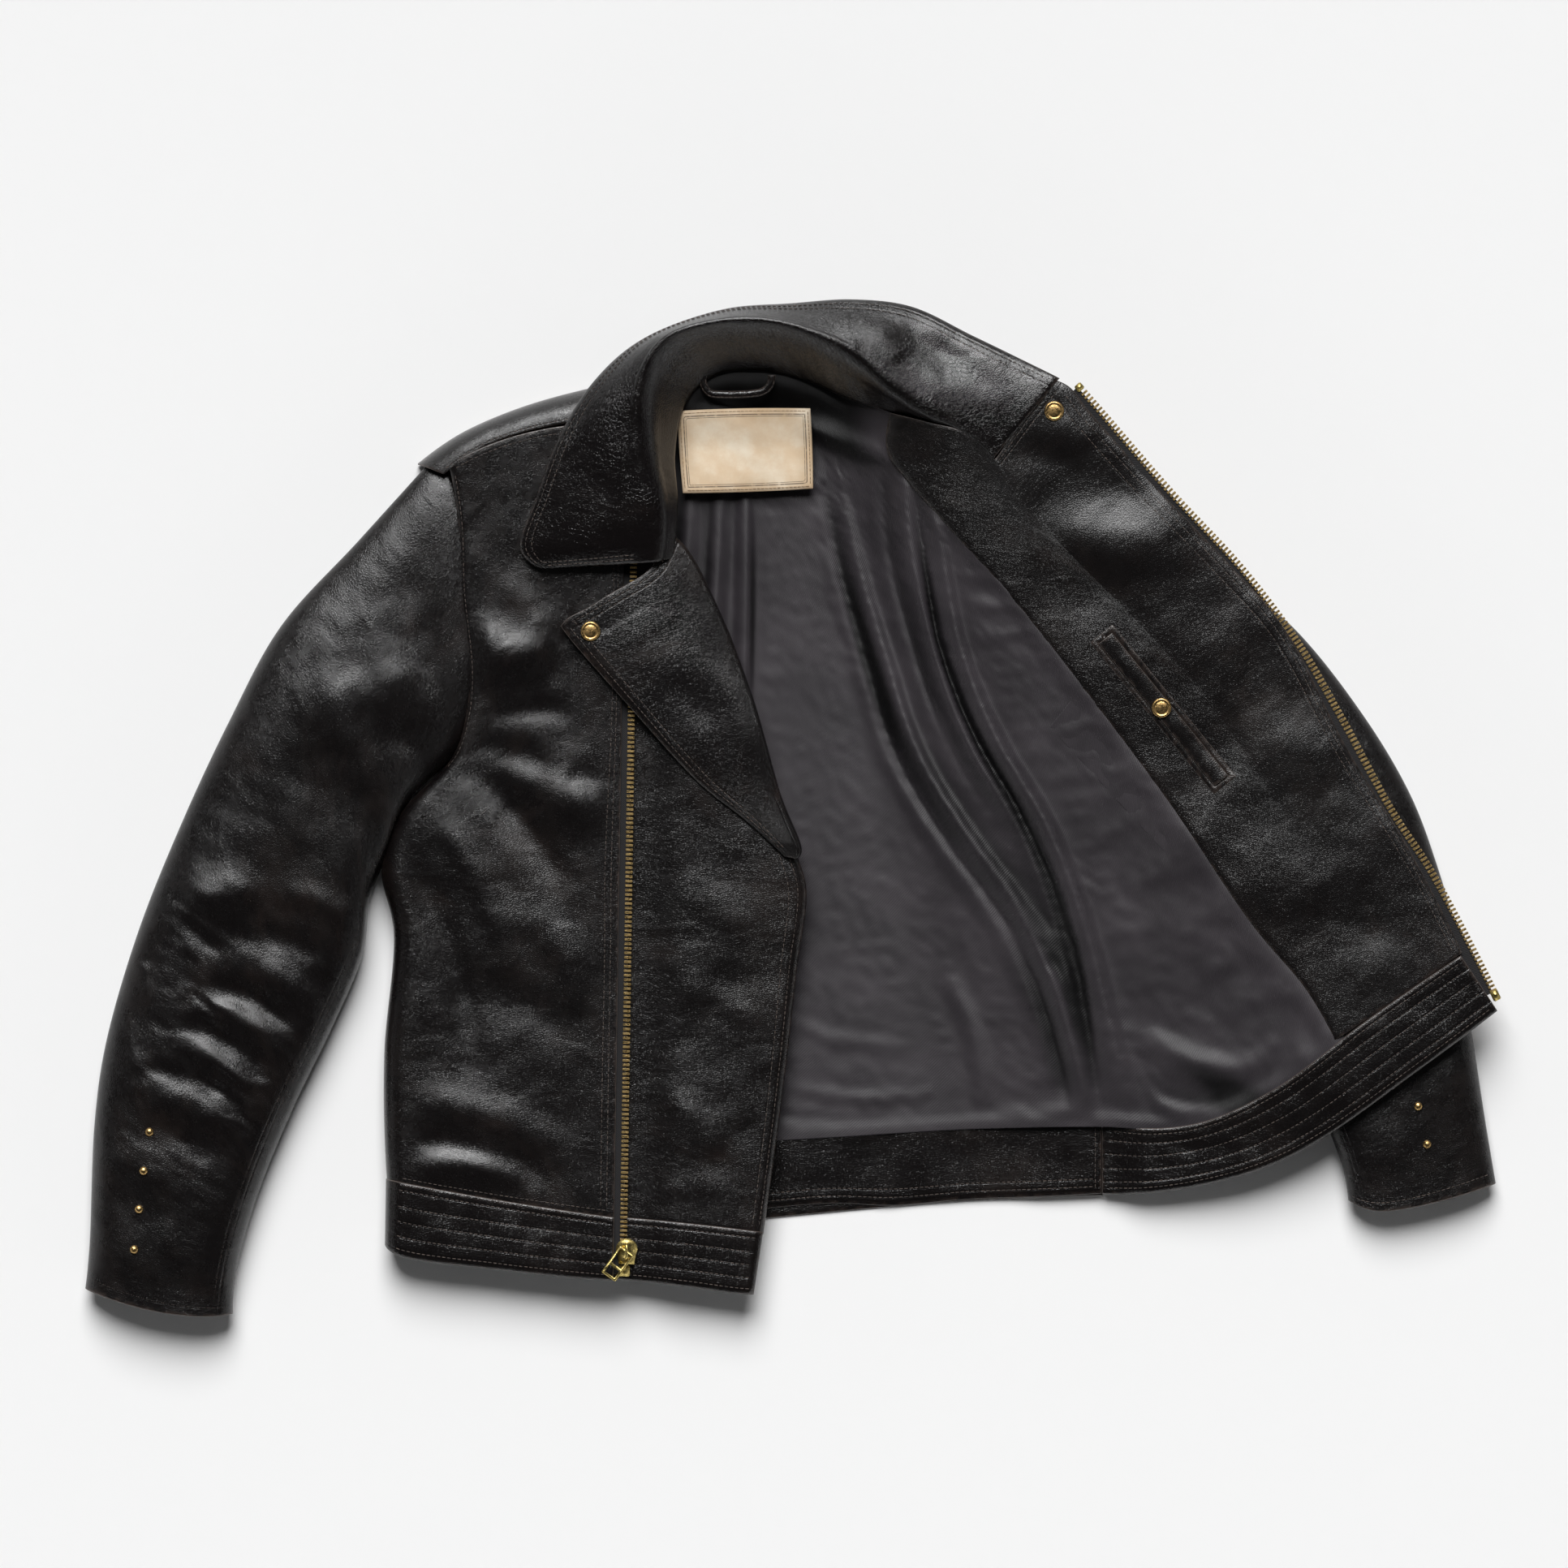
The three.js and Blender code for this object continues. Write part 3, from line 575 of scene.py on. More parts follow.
def under(cut, level, seed):
    def place(u, v):
        plan = cut(u, v)
        z = level + 0.8 * rumple(plan[..., 0], plan[..., 1], 40, seed)
        return raised(plan, z)

    return place


for name, cut, finish, node, slot, sizes in (
    (
        "right_facing_leather", facing_cut, main_leather, "right_front_facing", "black_leather",
        (0.1, 0.56, 0.03)
    ),
    ("right_lining_cloth", inside_cut, lining_cloth, "right_front_lining", "lining", (0.22, 0.53, 0.09))
):
    piece = hide(name, under(cut, 17.0, 5), sizes[0] * 900, sizes[1] * 1000, 1.2, step=7)
    dress(piece, finish, slot, node)

# ------------------------------------------------------------------ hem band of the right front
# A doubled strip of leather 47 mm deep, turned under at the hem, with five rows of stitching along it.
HEM_DEEP = 47
HEM_ROWS = (4.5, 12.5, 22.0, 31.5, 42.0)
hem_leather = leather("hem_leather", gloss=0.28, brown=0.3, creasing=0.5)
hem_left_cut = patch(
    edge([-299, -322], [-290, -329], [-214, -340], [zip_x(-348) - 7, -348]),
    edge([-298.5, -273], [-214, -288.5], [zip_x(-302) - 7, -301]), edge([-299, -322], [-298.5, -273]),
    edge([zip_x(-348) - 7, -348], [zip_x(-302) - 7, -301])
)
hem_right_cut = patch(
    edge([-143, -346], [-80, -352], [-40, -357.5], [-28, -358]),
    edge([-142, -300], [-80, -305], [-21, -312]), edge([-143, -346], [-142, -300]),
    edge([-28, -358], [-21, -312])
)


def hem_left(u, v):
    plan = hem_left_cut(u, v)
    x, y = plan[..., 0], plan[..., 1]
    free = ease(0, 34, zip_x(y) - 7 - x)
    top = FRONT + 1.0 + 1.3 * rumple(x, y, 46, 21) * free - 2.0 * (1 - np.clip(v * HEM_DEEP / 5, 0, 1)) ** 2
    top = top + 0.10 * near_rows(v * HEM_DEEP, *HEM_ROWS) ** 0.5 + 0.5 * rumple(x, y, 17, 25) * free
    z = side_roll(u * FRONT_WIDE, y, top)
    return raised(plan, z)


def hem_right(u, v):
    plan = hem_right_cut(u, v)
    x, y = plan[..., 0], plan[..., 1]
    z = underlap_z(x, np.maximum(y, -330)) + 0.8 + 0.10 * near_rows(v * HEM_DEEP, *HEM_ROWS) ** 0.5
    z = (
        z - 2.0 * (1 - np.clip(v * HEM_DEEP / 5, 0, 1)) ** 2
        - 3.2 * (1 - np.clip((1 - u) * 120 / 6, 0, 1)) ** 2
    )
    return raised(plan, z)


for name, surface, width, node in (
    ("right_hem_band_leather", hem_left, 172, "right_hem_band"),
    ("right_hem_end_leather", hem_right, 118, "right_hem_band_end")
):
    piece = hide(
        name, surface, width, HEM_DEEP, 2.6, us=spread(width, 2.4, SIDE_RIMS), vs=spread(HEM_DEEP, 1.6),
        side=lambda u, v: near_rows(v * HEM_DEEP, *HEM_ROWS)
    )
    dress(piece, hem_leather, "black_leather", node)

# ------------------------------------------------------------------ back
# One hide over the back and one over the shoulders, flat on the floor, their right side turned up to
# meet the front.
def turned_up(d, low=1.0, high=12.6, turn=15):
    """The back's side fold: from the floor up to the side seam over a quarter round."""
    return low + (high - low) * (1 - np.sqrt(1 - (1 - np.clip(d / turn, 0, 1)) ** 2))


back_cut = patch(
    edge([-297, -276], [-100, -262], [60, -244], [230, -234]), edge([-246, 40], [178, 40]),
    edge([-297, -276], [-296, -182], [-287, -91], [-293, -41], [-279, -2], [-246, 40]),
    edge([230, -234], [217, -150], [206, -70], [199, -20], [178, 40])
)
shoulder_cut = patch(
    edge([-246, 37], [178, 37]),
    edge([-263, 252], [-228, 283], [-158, 306], [-110, 316], [-20, 326], [90, 308], [197, 250]),
    edge([-246, 37], [-238, 102], [-243, 158], [-245, 209], [-263, 252]),
    edge([178, 37], [171, 102], [176, 158], [180, 209], [197, 250])
)
back_hem_cut = patch(
    edge([-298, -322], [-290, -327], [-150, -317], [0, -301], [130, -290], [230, -286]),
    edge([-297, -274], [-100, -260], [60, -242], [230, -232]), edge([-298, -322], [-297, -274]),
    edge([230, -286], [230, -232])
)


def neck_seam(x):
    """Height of the seam between the body and the collar stand, by place across the neck."""
    return np.interp(x, [-84, -80, -58, -30, 10, 45, 80, 108], [26, 18, 12, 11, 13, 21, 33, 44])


def back(u, v):
    plan = back_cut(u, v)
    z = turned_up(u * 500) + 0.3 * rumple(plan[..., 0], plan[..., 1], 60, 31)
    return raised(plan, z)


def shoulders(u, v):
    plan = shoulder_cut(u, v)
    x = plan[..., 0]
    rise = np.clip(neck_seam(x) - 2.6, 0, 12) * ease(-112, -84, x) * (1 - ease(78, 100, x))
    z = 1.0 + rise * ease(0.87, 1, v) + turned_up(u * 430, 0, 9, 12) + 0.3 * rumple(x, plan[..., 1], 60, 32)
    return raised(plan, z)


def back_hem(u, v):
    plan = back_hem_cut(u, v)
    z = turned_up(u * 525) + 0.2 * np.sin(v * 48 / 11.5 * 2 * math.pi)
    return raised(plan, z)


for name, surface, width, length, step, node, flat, area, finish in (
    ("back_leather", back, 500, 300, 5.0, "back_panel", (0.54, 0.33), 0.15, main_leather),
    ("back_shoulders_leather", shoulders, 430, 250, 5.0, "back_yoke", (0.46, 0.29), 0.105, main_leather),
    ("back_hem_band_leather", back_hem, 525, 48, 3.0, "back_hem_band", (0.53, 0.05), None, hem_leather)
):
    piece = hide(
        name, surface, width, length, 1.4, step=step, us=spread(width, step, SIDE_RIMS + (7.5, 11))
    )
    dress(piece, finish, "black_leather", node)
for away in (4.5, 9.0, 17, 27, 37, 44):
    sew("body", back_hem, np.linspace(0.01, 0.99, 50), away / 48, lift=-0.75)

shoulder_strip_cut = patch(
    edge([-256, 246], [-227, 266], [-201, 276], [-164, 284], [-120, 290]),
    edge([-276, 254], [-250, 273], [-229, 284], [-196, 297], [-157, 308], [-108, 318]),
    edge([-256, 246], [-276, 254]), edge([-120, 290], [-108, 318])
)


def shoulder_strip(u, v):
    plan = shoulder_strip_cut(u, v)
    z = 1.4 + 26.8 * np.sqrt(np.clip(1 - v**2.3, 0, 1)) + 0.5 * rumple(plan[..., 0], plan[..., 1], 22, 34)
    return raised(plan, z)


strip = hide(
    "right_shoulder_strip_leather", shoulder_strip, 150, 38, 1.5, step=1.8,
    side=lambda u, v: near_rows(v * 38, 4.5)
)
dress(strip, main_leather, "black_leather", "right_shoulder_strip")
sew("body", shoulder_strip, np.linspace(0.02, 0.98, 30), 4.5 / 38)

# The inside facing of the back hem, a strip of smooth leather under the open jacket's lower edge.
hem_facing_cut = patch(
    edge(
        [-266, -316], [-150, -309], [-60, -301], [-15, -295.5], [30, -292], [75, -293.5], [130, -289],
        [180, -287], [229, -284.5]
    ),
    edge([-266, -262], [-100, -251], [-12, -243], [60, -237], [135, -233.5], [229, -232]),
    edge([-266, -316], [-266, -262]), edge([229, -284.5], [229, -232])
)


def hem_facing(u, v):
    plan = hem_facing_cut(u, v)
    x = plan[..., 0]
    z = (
        3.2 + 4.2 * ease(120, 232, x) + 0.8 * rumple(x, plan[..., 1], 34, 36)
        - 1.2 * (1 - np.clip(v * 9, 0, 1)) ** 2
    )
    return raised(plan, z)


facing_piece = hide(
    "back_hem_facing_leather", hem_facing, 495, 52, 1.5, step=2.4,
    side=lambda u, v: np.minimum(near_rows(v * 52, 5.5, 11), near_rows((1 - u) * 495, 4.5))
)
dress(facing_piece, hem_leather, "black_leather", "back_hem_facing")
for away in (5.5, 11):
    sew("body", hem_facing, np.linspace(0.02, 0.995, 60), away / 52)
sew("body", hem_facing, 1 - 4.5 / 495, np.linspace(0.04, 0.96, 10))

# ------------------------------------------------------------------ sleeves
# Two-piece sleeves, each a pipe of leather with a twill lining inside; they lie half flat, full at
# the elbow.
def pipe(name, outline, length, thickness, around, along, depth):
    """A tube: outline(s, v, side) is its upper (1) or lower (-1) half, with s from -1 to 1 across it."""
    phi = np.linspace(-math.pi / 2, math.pi / 2, around + 1)
    s = np.sin(phi)
    rows = spread(length, length / along, (0, 1.2, 3))
    ss, vv = np.meshgrid(np.r_[s[:-1], s[::-1][:-1]], rows)
    side = np.r_[np.ones(around), -np.ones(around)] + 0 * vv
    outer = outline(ss, vv, side)
    around_step = np.roll(outer, -1, 1) - np.roll(outer, 1, 1)
    normal = np.cross(around_step, np.gradient(outer, axis=0))
    normal /= np.maximum(np.linalg.norm(normal, axis=-1, keepdims=True), 1e-9)
    centre = outer.mean(1, keepdims=True)
    if ((outer - centre) * normal).sum() < 0:
        normal = -normal
    inner = outer - normal * thickness
    past = outer[-1] - normal[-1] * thickness / 2 + (outer[-1] - outer[-2]) * 0.35
    n, m = vv.shape
    index = np.arange(n * m).reshape(n, m)
    walls = np.concatenate([index, (2 * n * m + np.arange(m))[None], index[::-1] + n * m, index[:1]])
    wrap = np.concatenate([walls, walls[:, :1]], 1)
    faces = quads(wrap)
    gone = np.concatenate(
        [
            np.zeros((n, 1)),
            np.cumsum(
                np.linalg.norm(np.diff(np.concatenate([outer, outer[:, :1]], 1), axis=1), axis=-1), 1
            )
        ],
        1
    )
    flat = np.stack([gone, np.repeat(rows[:, None], m + 1, 1) * length], -1)
    maps = np.concatenate([flat, flat[-1:] + [0, 2], flat[::-1] + 900, flat[:1]]).reshape(-1, 2)
    count = np.arange(len(walls) * (m + 1)).reshape(len(walls), m + 1)
    map_faces = quads(count)
    points = np.concatenate([outer.reshape(-1, 3), inner.reshape(-1, 3), past])
    rim = (1 - vv) * length
    seam = depth(ss, vv, side)
    both = {
        "rim": np.r_[rim.ravel(), rim.ravel(), np.zeros(m)],
        "seam": np.r_[seam.ravel(), seam.ravel(), seam[-1]]
    }
    volume = np.einsum(
        "ij,ij->i", points[faces[:, 0]], np.cross(points[faces[:, 1]], points[faces[:, 2]])
    ).sum()
    if volume < 0:
        faces, map_faces = faces[:, ::-1], map_faces[:, ::-1]
    return build(name, points, faces, maps, both, map_faces)


ARMHOLE = [[-262, 261], [-250, 242], [-240, 209], [-237, 158], [-232, 102], [-236, 70], [-245, 38]]
right_sleeve_cut = patch(
    edge(*ARMHOLE), edge([-521, -354], [-469, -370], [-431, -374], [-412, -372.5]),
    edge(
        [-262, 261], [-319, 198], [-377, 134], [-415, 64], [-450, -11], [-482, -91], [-506, -174],
        [-514, -230], [-518, -324], [-521, -354]
    ),
    edge(
        [-245, 38], [-284, 2], [-299, -36], [-311, -67], [-316, -107], [-338, -160], [-367, -220],
        [-394, -286], [-409, -340], [-412, -372.5]
    )
)
left_sleeve_cut = patch(
    edge([178, 42], [173, 102], [178, 158], [182, 209], [200, 252]),
    edge([411, -289], [428, -296], [451, -295], [520, -276.5]),
    edge([178, 42], [213, -8], [285, -80], [351, -164], [398, -241], [411, -289]),
    edge(
        [200, 252], [249, 238], [309, 181], [368, 136], [422, 69], [457, 10], [476, -40], [489, -86],
        [502, -164], [512, -229], [520, -276.5]
    )
)
SLEEVE_FOLDS = [
    ((-350, 72), (-276, 82), 26, 8.0), ((-452, -66), (-386, -60), 16, 6.0),
    ((-412, -112), (-352, -140), 9, 4.6), ((-430, -128), (-364, -162), 7, -4.4),
    ((-436, -142), (-372, -178), 8, 5.0), ((-446, -158), (-384, -196), 7, -4.2),
    ((-452, -172), (-396, -206), 8, 4.0), ((-405, -92), (-340, -112), 9, -3.4),
    ((-470, -190), (-400, -226), 8, -3.2), ((-476, -208), (-410, -240), 9, 3.0),
    ((-380, -60), (-320, -84), 10, 3.0), ((-480, -232), (-420, -262), 9, -2.4),
    ((-330, 20), (-300, -50), 12, -4.2), ((-300, 60), (-262, 30), 11, -5.0),
    ((-345, 60), (-300, 20), 14, 3.4), ((-372, 40), (-330, -30), 14, -2.8),
    ((-290, 110), (-262, 60), 12, 3.4), ((-440, -60), (-400, -84), 11, 2.8),
    ((-450, -84), (-420, -112), 9, -2.6), ((-500, -250), (-440, -290), 11, 1.8),
    ((-262, 200), (-290, 150), 12, -2.4), ((-320, 150), (-290, 80), 18, 3.0),
    ((-360, -120), (-330, -150), 9, -3.0)
]


def right_top(x, y, v):
    top = 30 + 10 * ease(-0.02, 0.3, v) - 6.5 * ease(0.3, 1, v) - 3.0 * ease(0.9, 1, v)
    free = ease(0.01, 0.10, v) * (1 - ease(0.95, 1, v))
    elbow = np.exp(-(((v - 0.66) / 0.15) ** 2))
    top = top + slack(x, y, 41, 1.6) * free
    top = (
        top
        + (2.0 * crumple(x, y, -30, 15, 2.6, 45) + 1.4 * crumple(x, y, -22, 9, 3.0, 49)) * elbow * free
    )
    for start, end, width, height in SLEEVE_FOLDS:
        top = top + 0.62 * crease(x, y, start, end, width, height) * free
    cap = np.sqrt(1 - (1 - np.clip(v / 0.05, 0, 1)) ** 2)
    return 24.0 + (top - 24.0) * cap


def left_top(x, y, v):
    top = 30 - 4 * v - 2 * ease(0.86, 1, v)
    free = ease(0, 0.10, v) * (1 - ease(0.92, 1, v))
    return top + slack(x, y, 47, 0.9) * free


def sleeve(cut, top, seam, mirrored=1):
    def outline(s, v, side):
        plan = cut((1 + s * mirrored) / 2, v)
        x, y = plan[..., 0], plan[..., 1]
        upper = seam + (top(x, y, v) - seam) * np.sqrt(np.clip(1 - np.abs(s) ** 3.4, 0, 1))
        lower = seam - (seam - 1.0) * np.sqrt(np.clip(1 - s**8, 0, 1))
        return np.concatenate([plan, np.where(side > 0, upper, lower)[..., None]], -1)

    return outline


right_sleeve = sleeve(right_sleeve_cut, right_top, 13)
left_sleeve = sleeve(left_sleeve_cut, left_top, 11, -1)


def sleeve_depth(s, v, side):
    """How far each place on a sleeve is from its rows of stitching, at the hind seam and at the cuff."""
    across = (1 - s) / 2 * (210 - 95 * v)
    hind = np.where((side > 0) & (v > 0.12), near_rows(across, 10.5, 15.0), 4.0)
    return np.minimum(hind, near_rows((1 - v) * 520, 6.5))


for name, outline in (("right_sleeve", right_sleeve), ("left_sleeve", left_sleeve)):
    tube = pipe(name + "_leather", outline, 560, 1.5, 62, 190, sleeve_depth)
    dress(tube, main_leather, "black_leather", name + "_top", name + "_under")

    def within(s, v, side, outline=outline):
        shape = outline(s * 0.985, 0.03 + v * 0.93, side)
        middle = shape.mean(1, keepdims=True)
        shape[..., 2] = middle[..., 2] + (shape[..., 2] - middle[..., 2]) * 0.80
        return shape

    bag = pipe(name + "_lining", within, 520, 0.8, 30, 70, lambda s, v, side: 4 + 0 * s)
    dress(bag, lining_cloth, "lining")


def on_sleeve(outline):
    return lambda u, v: outline(2 * np.asarray(u) - 1, v, np.ones(np.broadcast(u, v).shape))


down_sleeve = np.linspace(0.13, 0.985, 60)
for away in (10.5, 15.0):
    sew("body", on_sleeve(right_sleeve), 1 - away / (210 - 95 * down_sleeve), down_sleeve, lift=0.1)
for outline in (right_sleeve, left_sleeve):
    sew("body", on_sleeve(outline), np.linspace(0.03, 0.97, 40), 1 - 6.5 / 520, lift=0.1)

# ------------------------------------------------------------------ open left front
# The left front is thrown open over the left sleeve: its black leather lies face down, with the wide
# leather facing and the lining on top. It bends along the fold beside the body, so every cut that
# crosses the fold is blended.
FOLD_WAY = np.array([0.983, 0.185])
FOLD_AT = 172.6
BEND = (
    "open_front", {"start": (0.983 * 0.133, 0.185 * 0.133, 0), "end": (0.983 * 0.213, 0.185 * 0.213, 0)}
)
FLAP_SWELLS = [
    ((262, 236), (170, 232), 26, -3.6), ((222, 268), (190, 286), 14, 2.0),
    ((300, 190), (190, 214), 28, 4.6), ((236, 150), (170, 178), 26, -3.0),
    ((340, 110), (250, 150), 30, 2.6), ((330, 20), (240, 90), 34, -2.6),
    ((400, 30), (330, 60), 26, 2.2), ((420, -60), (330, -30), 30, 2.8),
    ((440, -100), (380, -70), 20, -2.2), ((150, 262), (210, 250), 12, -2.0)
]


def across_fold(x, y):
    return FOLD_WAY[0] * x + FOLD_WAY[1] * y


def fold_height(y):
    return 10 + 40 * (y + 284) / 574


def flap_height(x, y):
    """Height of the open front's outer leather: from the fold out to where it rests on the sleeve."""
    q = across_fold(x, y) - FOLD_AT
    wide = np.interp(y, [-120, -31, 44, 131, 178, 234, 294, 313], [287, 267, 235, 206, 175, 134, 91, 81])
    out = np.sin(np.clip(q / wide, 0, 1) * math.pi / 2)
    fold = fold_height(y) - 4.6
    rest = 36 + 4 * ease(80, 290, y)
    base = fold + (rest - fold) * out
    swell = slack(x, y, 53, 1.4) * ease(20, 110, q)
    for start, end, width, height in FLAP_SWELLS:
        swell = swell + crease(x, y, start, end, width, height) * ease(10, 60, q)
    before = ease(-118, 0, q)
    return np.where(q > 0, base + np.maximum(swell, -4), 3 + (fold - 3) * before)


flap_outer_cut = patch(
    edge([226, -233], [294, -233], [352, -209], [426, -154], [491, -112]),
    chain(edge([118, 292], [148, 258]), edge([148, 258], [167, 284], [189, 312])),
    edge([226, -233], [118, 292]),
    edge(
        [491, -112], [453, -31], [407, 44], [361, 131], [321, 178], [268, 234], [213, 295], [199, 310],
        [189, 312]
    )
)


def flap_outer(u, v):
    plan = flap_outer_cut(u, v)
    x, y = plan[..., 0], plan[..., 1]
    return raised(plan, flap_height(x, y) + 0.7)


outer = hide("left_front_leather", flap_outer, 270, 545, 1.4, step=6)
dress(outer, main_leather, "black_leather", "left_front_panel", place=BEND)

# The side of the body under the fold: from the back's left edge, past the armhole and shoulder, up to
# the open front.
wall_low = edge(
    [229, -285], [229, -236], [215, -150], [204, -70], [196, -20], [175, 40], [169, 102], [172, 158],
    [176, 205], [182, 240], [160, 275], [96, 308]
)
wall_high = edge(
    [233, -283], [229, -236], [212, -140], [197, -60], [182, 10], [164, 95], [148, 170], [135, 232],
    [128, 270], [124, 286], [122, 289], [112, 293]
)


def side_wall(u, v):
    low, high = wall_low(v), wall_high(v)
    rise = np.sin(np.asarray(u) * math.pi / 2)
    plan = low + (high - low) * (1 - np.cos(np.asarray(u) * math.pi / 2))[..., None]
    top = fold_height(high[..., 1]) - 4.2
    bulge = 5.0 * np.sin(np.asarray(u) * math.pi) * (1 - ease(0.28, 0.5, v))
    plan = plan + bulge[..., None] * FOLD_WAY
    z = 1.2 + (top - 1.2) * rise + 1.0 * rumple(v * 600, u * 60, 40, 57) * np.sin(np.asarray(u) * math.pi)
    return raised(plan, z)


wall = hide("left_side_leather", side_wall, 60, 640, 1.4, step=5)
dress(wall, main_leather, "black_leather", place=BEND)

# The facing: the wide leather strip up the open front, ending in the lapel corner, double-stitched
# along its edge.
FACING_SEAM = [[399, -171], [379, -134], [339, -86], [277, 5], [208, 96], [161, 155], [116, 206], [84, 243]]
FLAP_EDGE = [
    [493, -106], [454, -30], [408, 45], [362, 133], [322, 179], [269, 235], [217, 294], [204, 310],
    [191, 315]
]
facing_outline = patch(
    edge([399, -171], [426, -153], [493, -106]),
    chain(
        edge([73, 291], [104, 283], [125, 277], [149.5, 256]),
        edge([149.5, 256], [169, 284], [191, 315])
    ),
    edge(*FACING_SEAM, [71, 262], [73, 291]), edge(*FLAP_EDGE)
)


def left_facing(u, v):
    plan = facing_outline(u, v)
    x, y = plan[..., 0], plan[..., 1]
    seam_dip = 1.2 * (1 - np.clip(u * 150 / 7, 0, 1)) ** 2
    edge_dip = 1.6 * (1 - np.clip((1 - u) * 150 / 6, 0, 1)) ** 2
    return raised(plan, flap_height(x, y) + 4.2 - seam_dip - edge_dip)


facing_leather = leather("facing_leather", gloss=0.34, brown=0.42, creasing=0.8)
facing_us = spread(150, 2.6, SIDE_RIMS, corners=[0.52])
left_facing_piece = hide(
    "left_facing_leather", left_facing, 150, 560, 1.5, us=facing_us, vs=spread(560, 2.8),
    side=lambda u, v: np.minimum(
        near_rows((1 - u) * 150 * (1.1 - 0.35 * v), 4.5, 9.0),
        np.where(u > 0.5, near_rows((1 - v) * 560, 4.5, 9.5), 4.0)
    )
)
dress(left_facing_piece, facing_leather, "black_leather", "left_front_facing", place=BEND)
up = np.linspace(0.006, 0.975, 90)
for away in (4.5, 9.0):
    sew("flap", left_facing, 1 - away / (150 * (1.1 - 0.35 * up)), up)
sew("flap", left_facing, np.linspace(0.54, 0.97, 30), 1 - 4.5 / 560)
sew("flap", left_facing, np.linspace(0.54, 0.97, 30), 1 - 9.5 / 560)

# Hem band of the open front, inside out: six rows of stitching along a doubled strip.
LEFT_HEM_ROWS = (4.5, 9.0, 18.5, 28.5, 38.5, 45.5)
left_hem_cut = patch(
    edge(
        [229.4, -284.5], [265, -283.5], [314, -275], [352, -263], [389, -244], [463, -191],
        [519, -148.5]
    ),
    edge([229.4, -232], [294, -233], [352, -208.5], [426, -153.5], [492, -108]),
    edge([229.4, -284.5], [229.4, -232]), edge([519, -148.5], [492, -108])
)


def left_hem(u, v):
    plan = left_hem_cut(u, v)
    x, y = plan[..., 0], plan[..., 1]
    row = 0.10 * near_rows(v * 50, *LEFT_HEM_ROWS) ** 0.5
    row = row + 0.5 * rumple(x, y, 17, 63) * np.sin(v * math.pi)
    z = flap_height(x, np.maximum(y, -250)) + 3.9 + row - 2.2 * (1 - np.clip(v * 50 / 5, 0, 1)) ** 2
    join = ease(229, 262, x)
    z = (7.6 + 0.6 * rumple(x, y, 30, 61)) * (1 - join) + z * join
    return raised(plan, z)


left_hem_piece = hide(
    "left_hem_band_leather", left_hem, 325, 50, 3.0, us=spread(325, 2.4), vs=spread(50, 1.6),
    side=lambda u, v: near_rows(v * 50, *LEFT_HEM_ROWS)
)
dress(left_hem_piece, hem_leather, "black_leather", "left_hem_band", place=BEND)
for away in LEFT_HEM_ROWS:
    sew("flap", left_hem, np.linspace(0.01, 0.99, 60), away / 50, lift=1.5)

# ------------------------------------------------------------------ lining
# Black rayon twill, sewn in loose over the back and the left front, with a pleat down the centre back.
lining_foot = edge(
    [-240, -246], [-120, -250], [0, -245], [135, -237], [227, -235], [294, -236], [352, -212],
    [407, -169]
)
lining_head = edge(
    [-228, 235], [-150, 282], [-96, 305], [-60, 321], [-28, 326], [12, 319], [46, 302], [80, 289]
)
lining_cut = patch(
    lining_foot, lining_head, edge([-240, -246], [-250, -60], [-224, 40], [-228, 235]),
    edge([407, -169], *(np.array(FACING_SEAM[1:]) + [4.5, 2.5]).tolist(), [77, 262], [80, 289])
)
LONG_FOLDS = [
    ([[-33, 236], [-33, 130], [-37, 24]], 3.4, 9.0, 4.6),
    ([[-41, 240], [-45, 120], [-52, 10]], 4.0, 4.0, -3.4),
    ([[-52, 244], [-58, 120], [-70, 24]], 4.0, 6.0, 3.6),
    ([[-62, 244], [-70, 130], [-84, 40]], 4.5, 4.0, -3.2),
    ([[-74, 244], [-84, 120], [-98, 50]], 5.0, 5.0, 3.4),
    ([[-20, 232], [-24, 150], [-25, 80]], 6.0, 7.0, -1.4),
    ([[26, 236], [36, 180], [53, 118], [77, 40], [112, -20], [150, -70], [187, -114]], 12.0, 5.0, -6.0),
    ([[36, 240], [48, 180], [66, 118], [92, 40], [128, -20], [168, -74], [203, -122]], 5.5, 14.0, 6.4),
    ([[70, 262], [72, 200], [88, 130], [112, 60], [146, 0]], 7.0, 5.0, -4.0),
    ([[84, 262], [86, 200], [102, 130], [126, 60], [158, 0]], 4.0, 9.0, 4.4),
    (
        [[90, 244], [98, 190], [110, 120], [132, 60], [174, -16], [200, -84], [216, -150], [228, -226]],
        7.0, 4.0, -8.5
    ),
    (
        [
            [101, 246], [110, 190], [124, 120], [147, 60], [190, -16], [216, -84], [234, -150],
            [250, -214]
        ],
        4.6, 18.0, 7.5
    ),
    ([[140, -60], [176, -120], [196, -180], [206, -226]], 9.0, 5.0, -4.4),
    ([[154, -64], [190, -124], [208, -180], [218, -222]], 4.0, 8.0, 4.4),
    ([[256, -176], [276, -204], [316, -218], [350, -212]], 8.0, 8.0, -4.6),
    ([[262, -160], [296, -186], [344, -192]], 9.0, 8.0, 3.4),
    ([[-14, -150], [30, -170], [90, -176]], 7.0, 9.0, 1.2),
    ([[0, -206], [50, -214], [110, -210]], 5.0, 7.0, 1.4),
    ([[-12, -226], [60, -232], [150, -224]], 4.0, 6.0, -1.8),
    ([[112, -120], [134, -170], [144, -222]], 8.0, 7.0, 2.2)
]


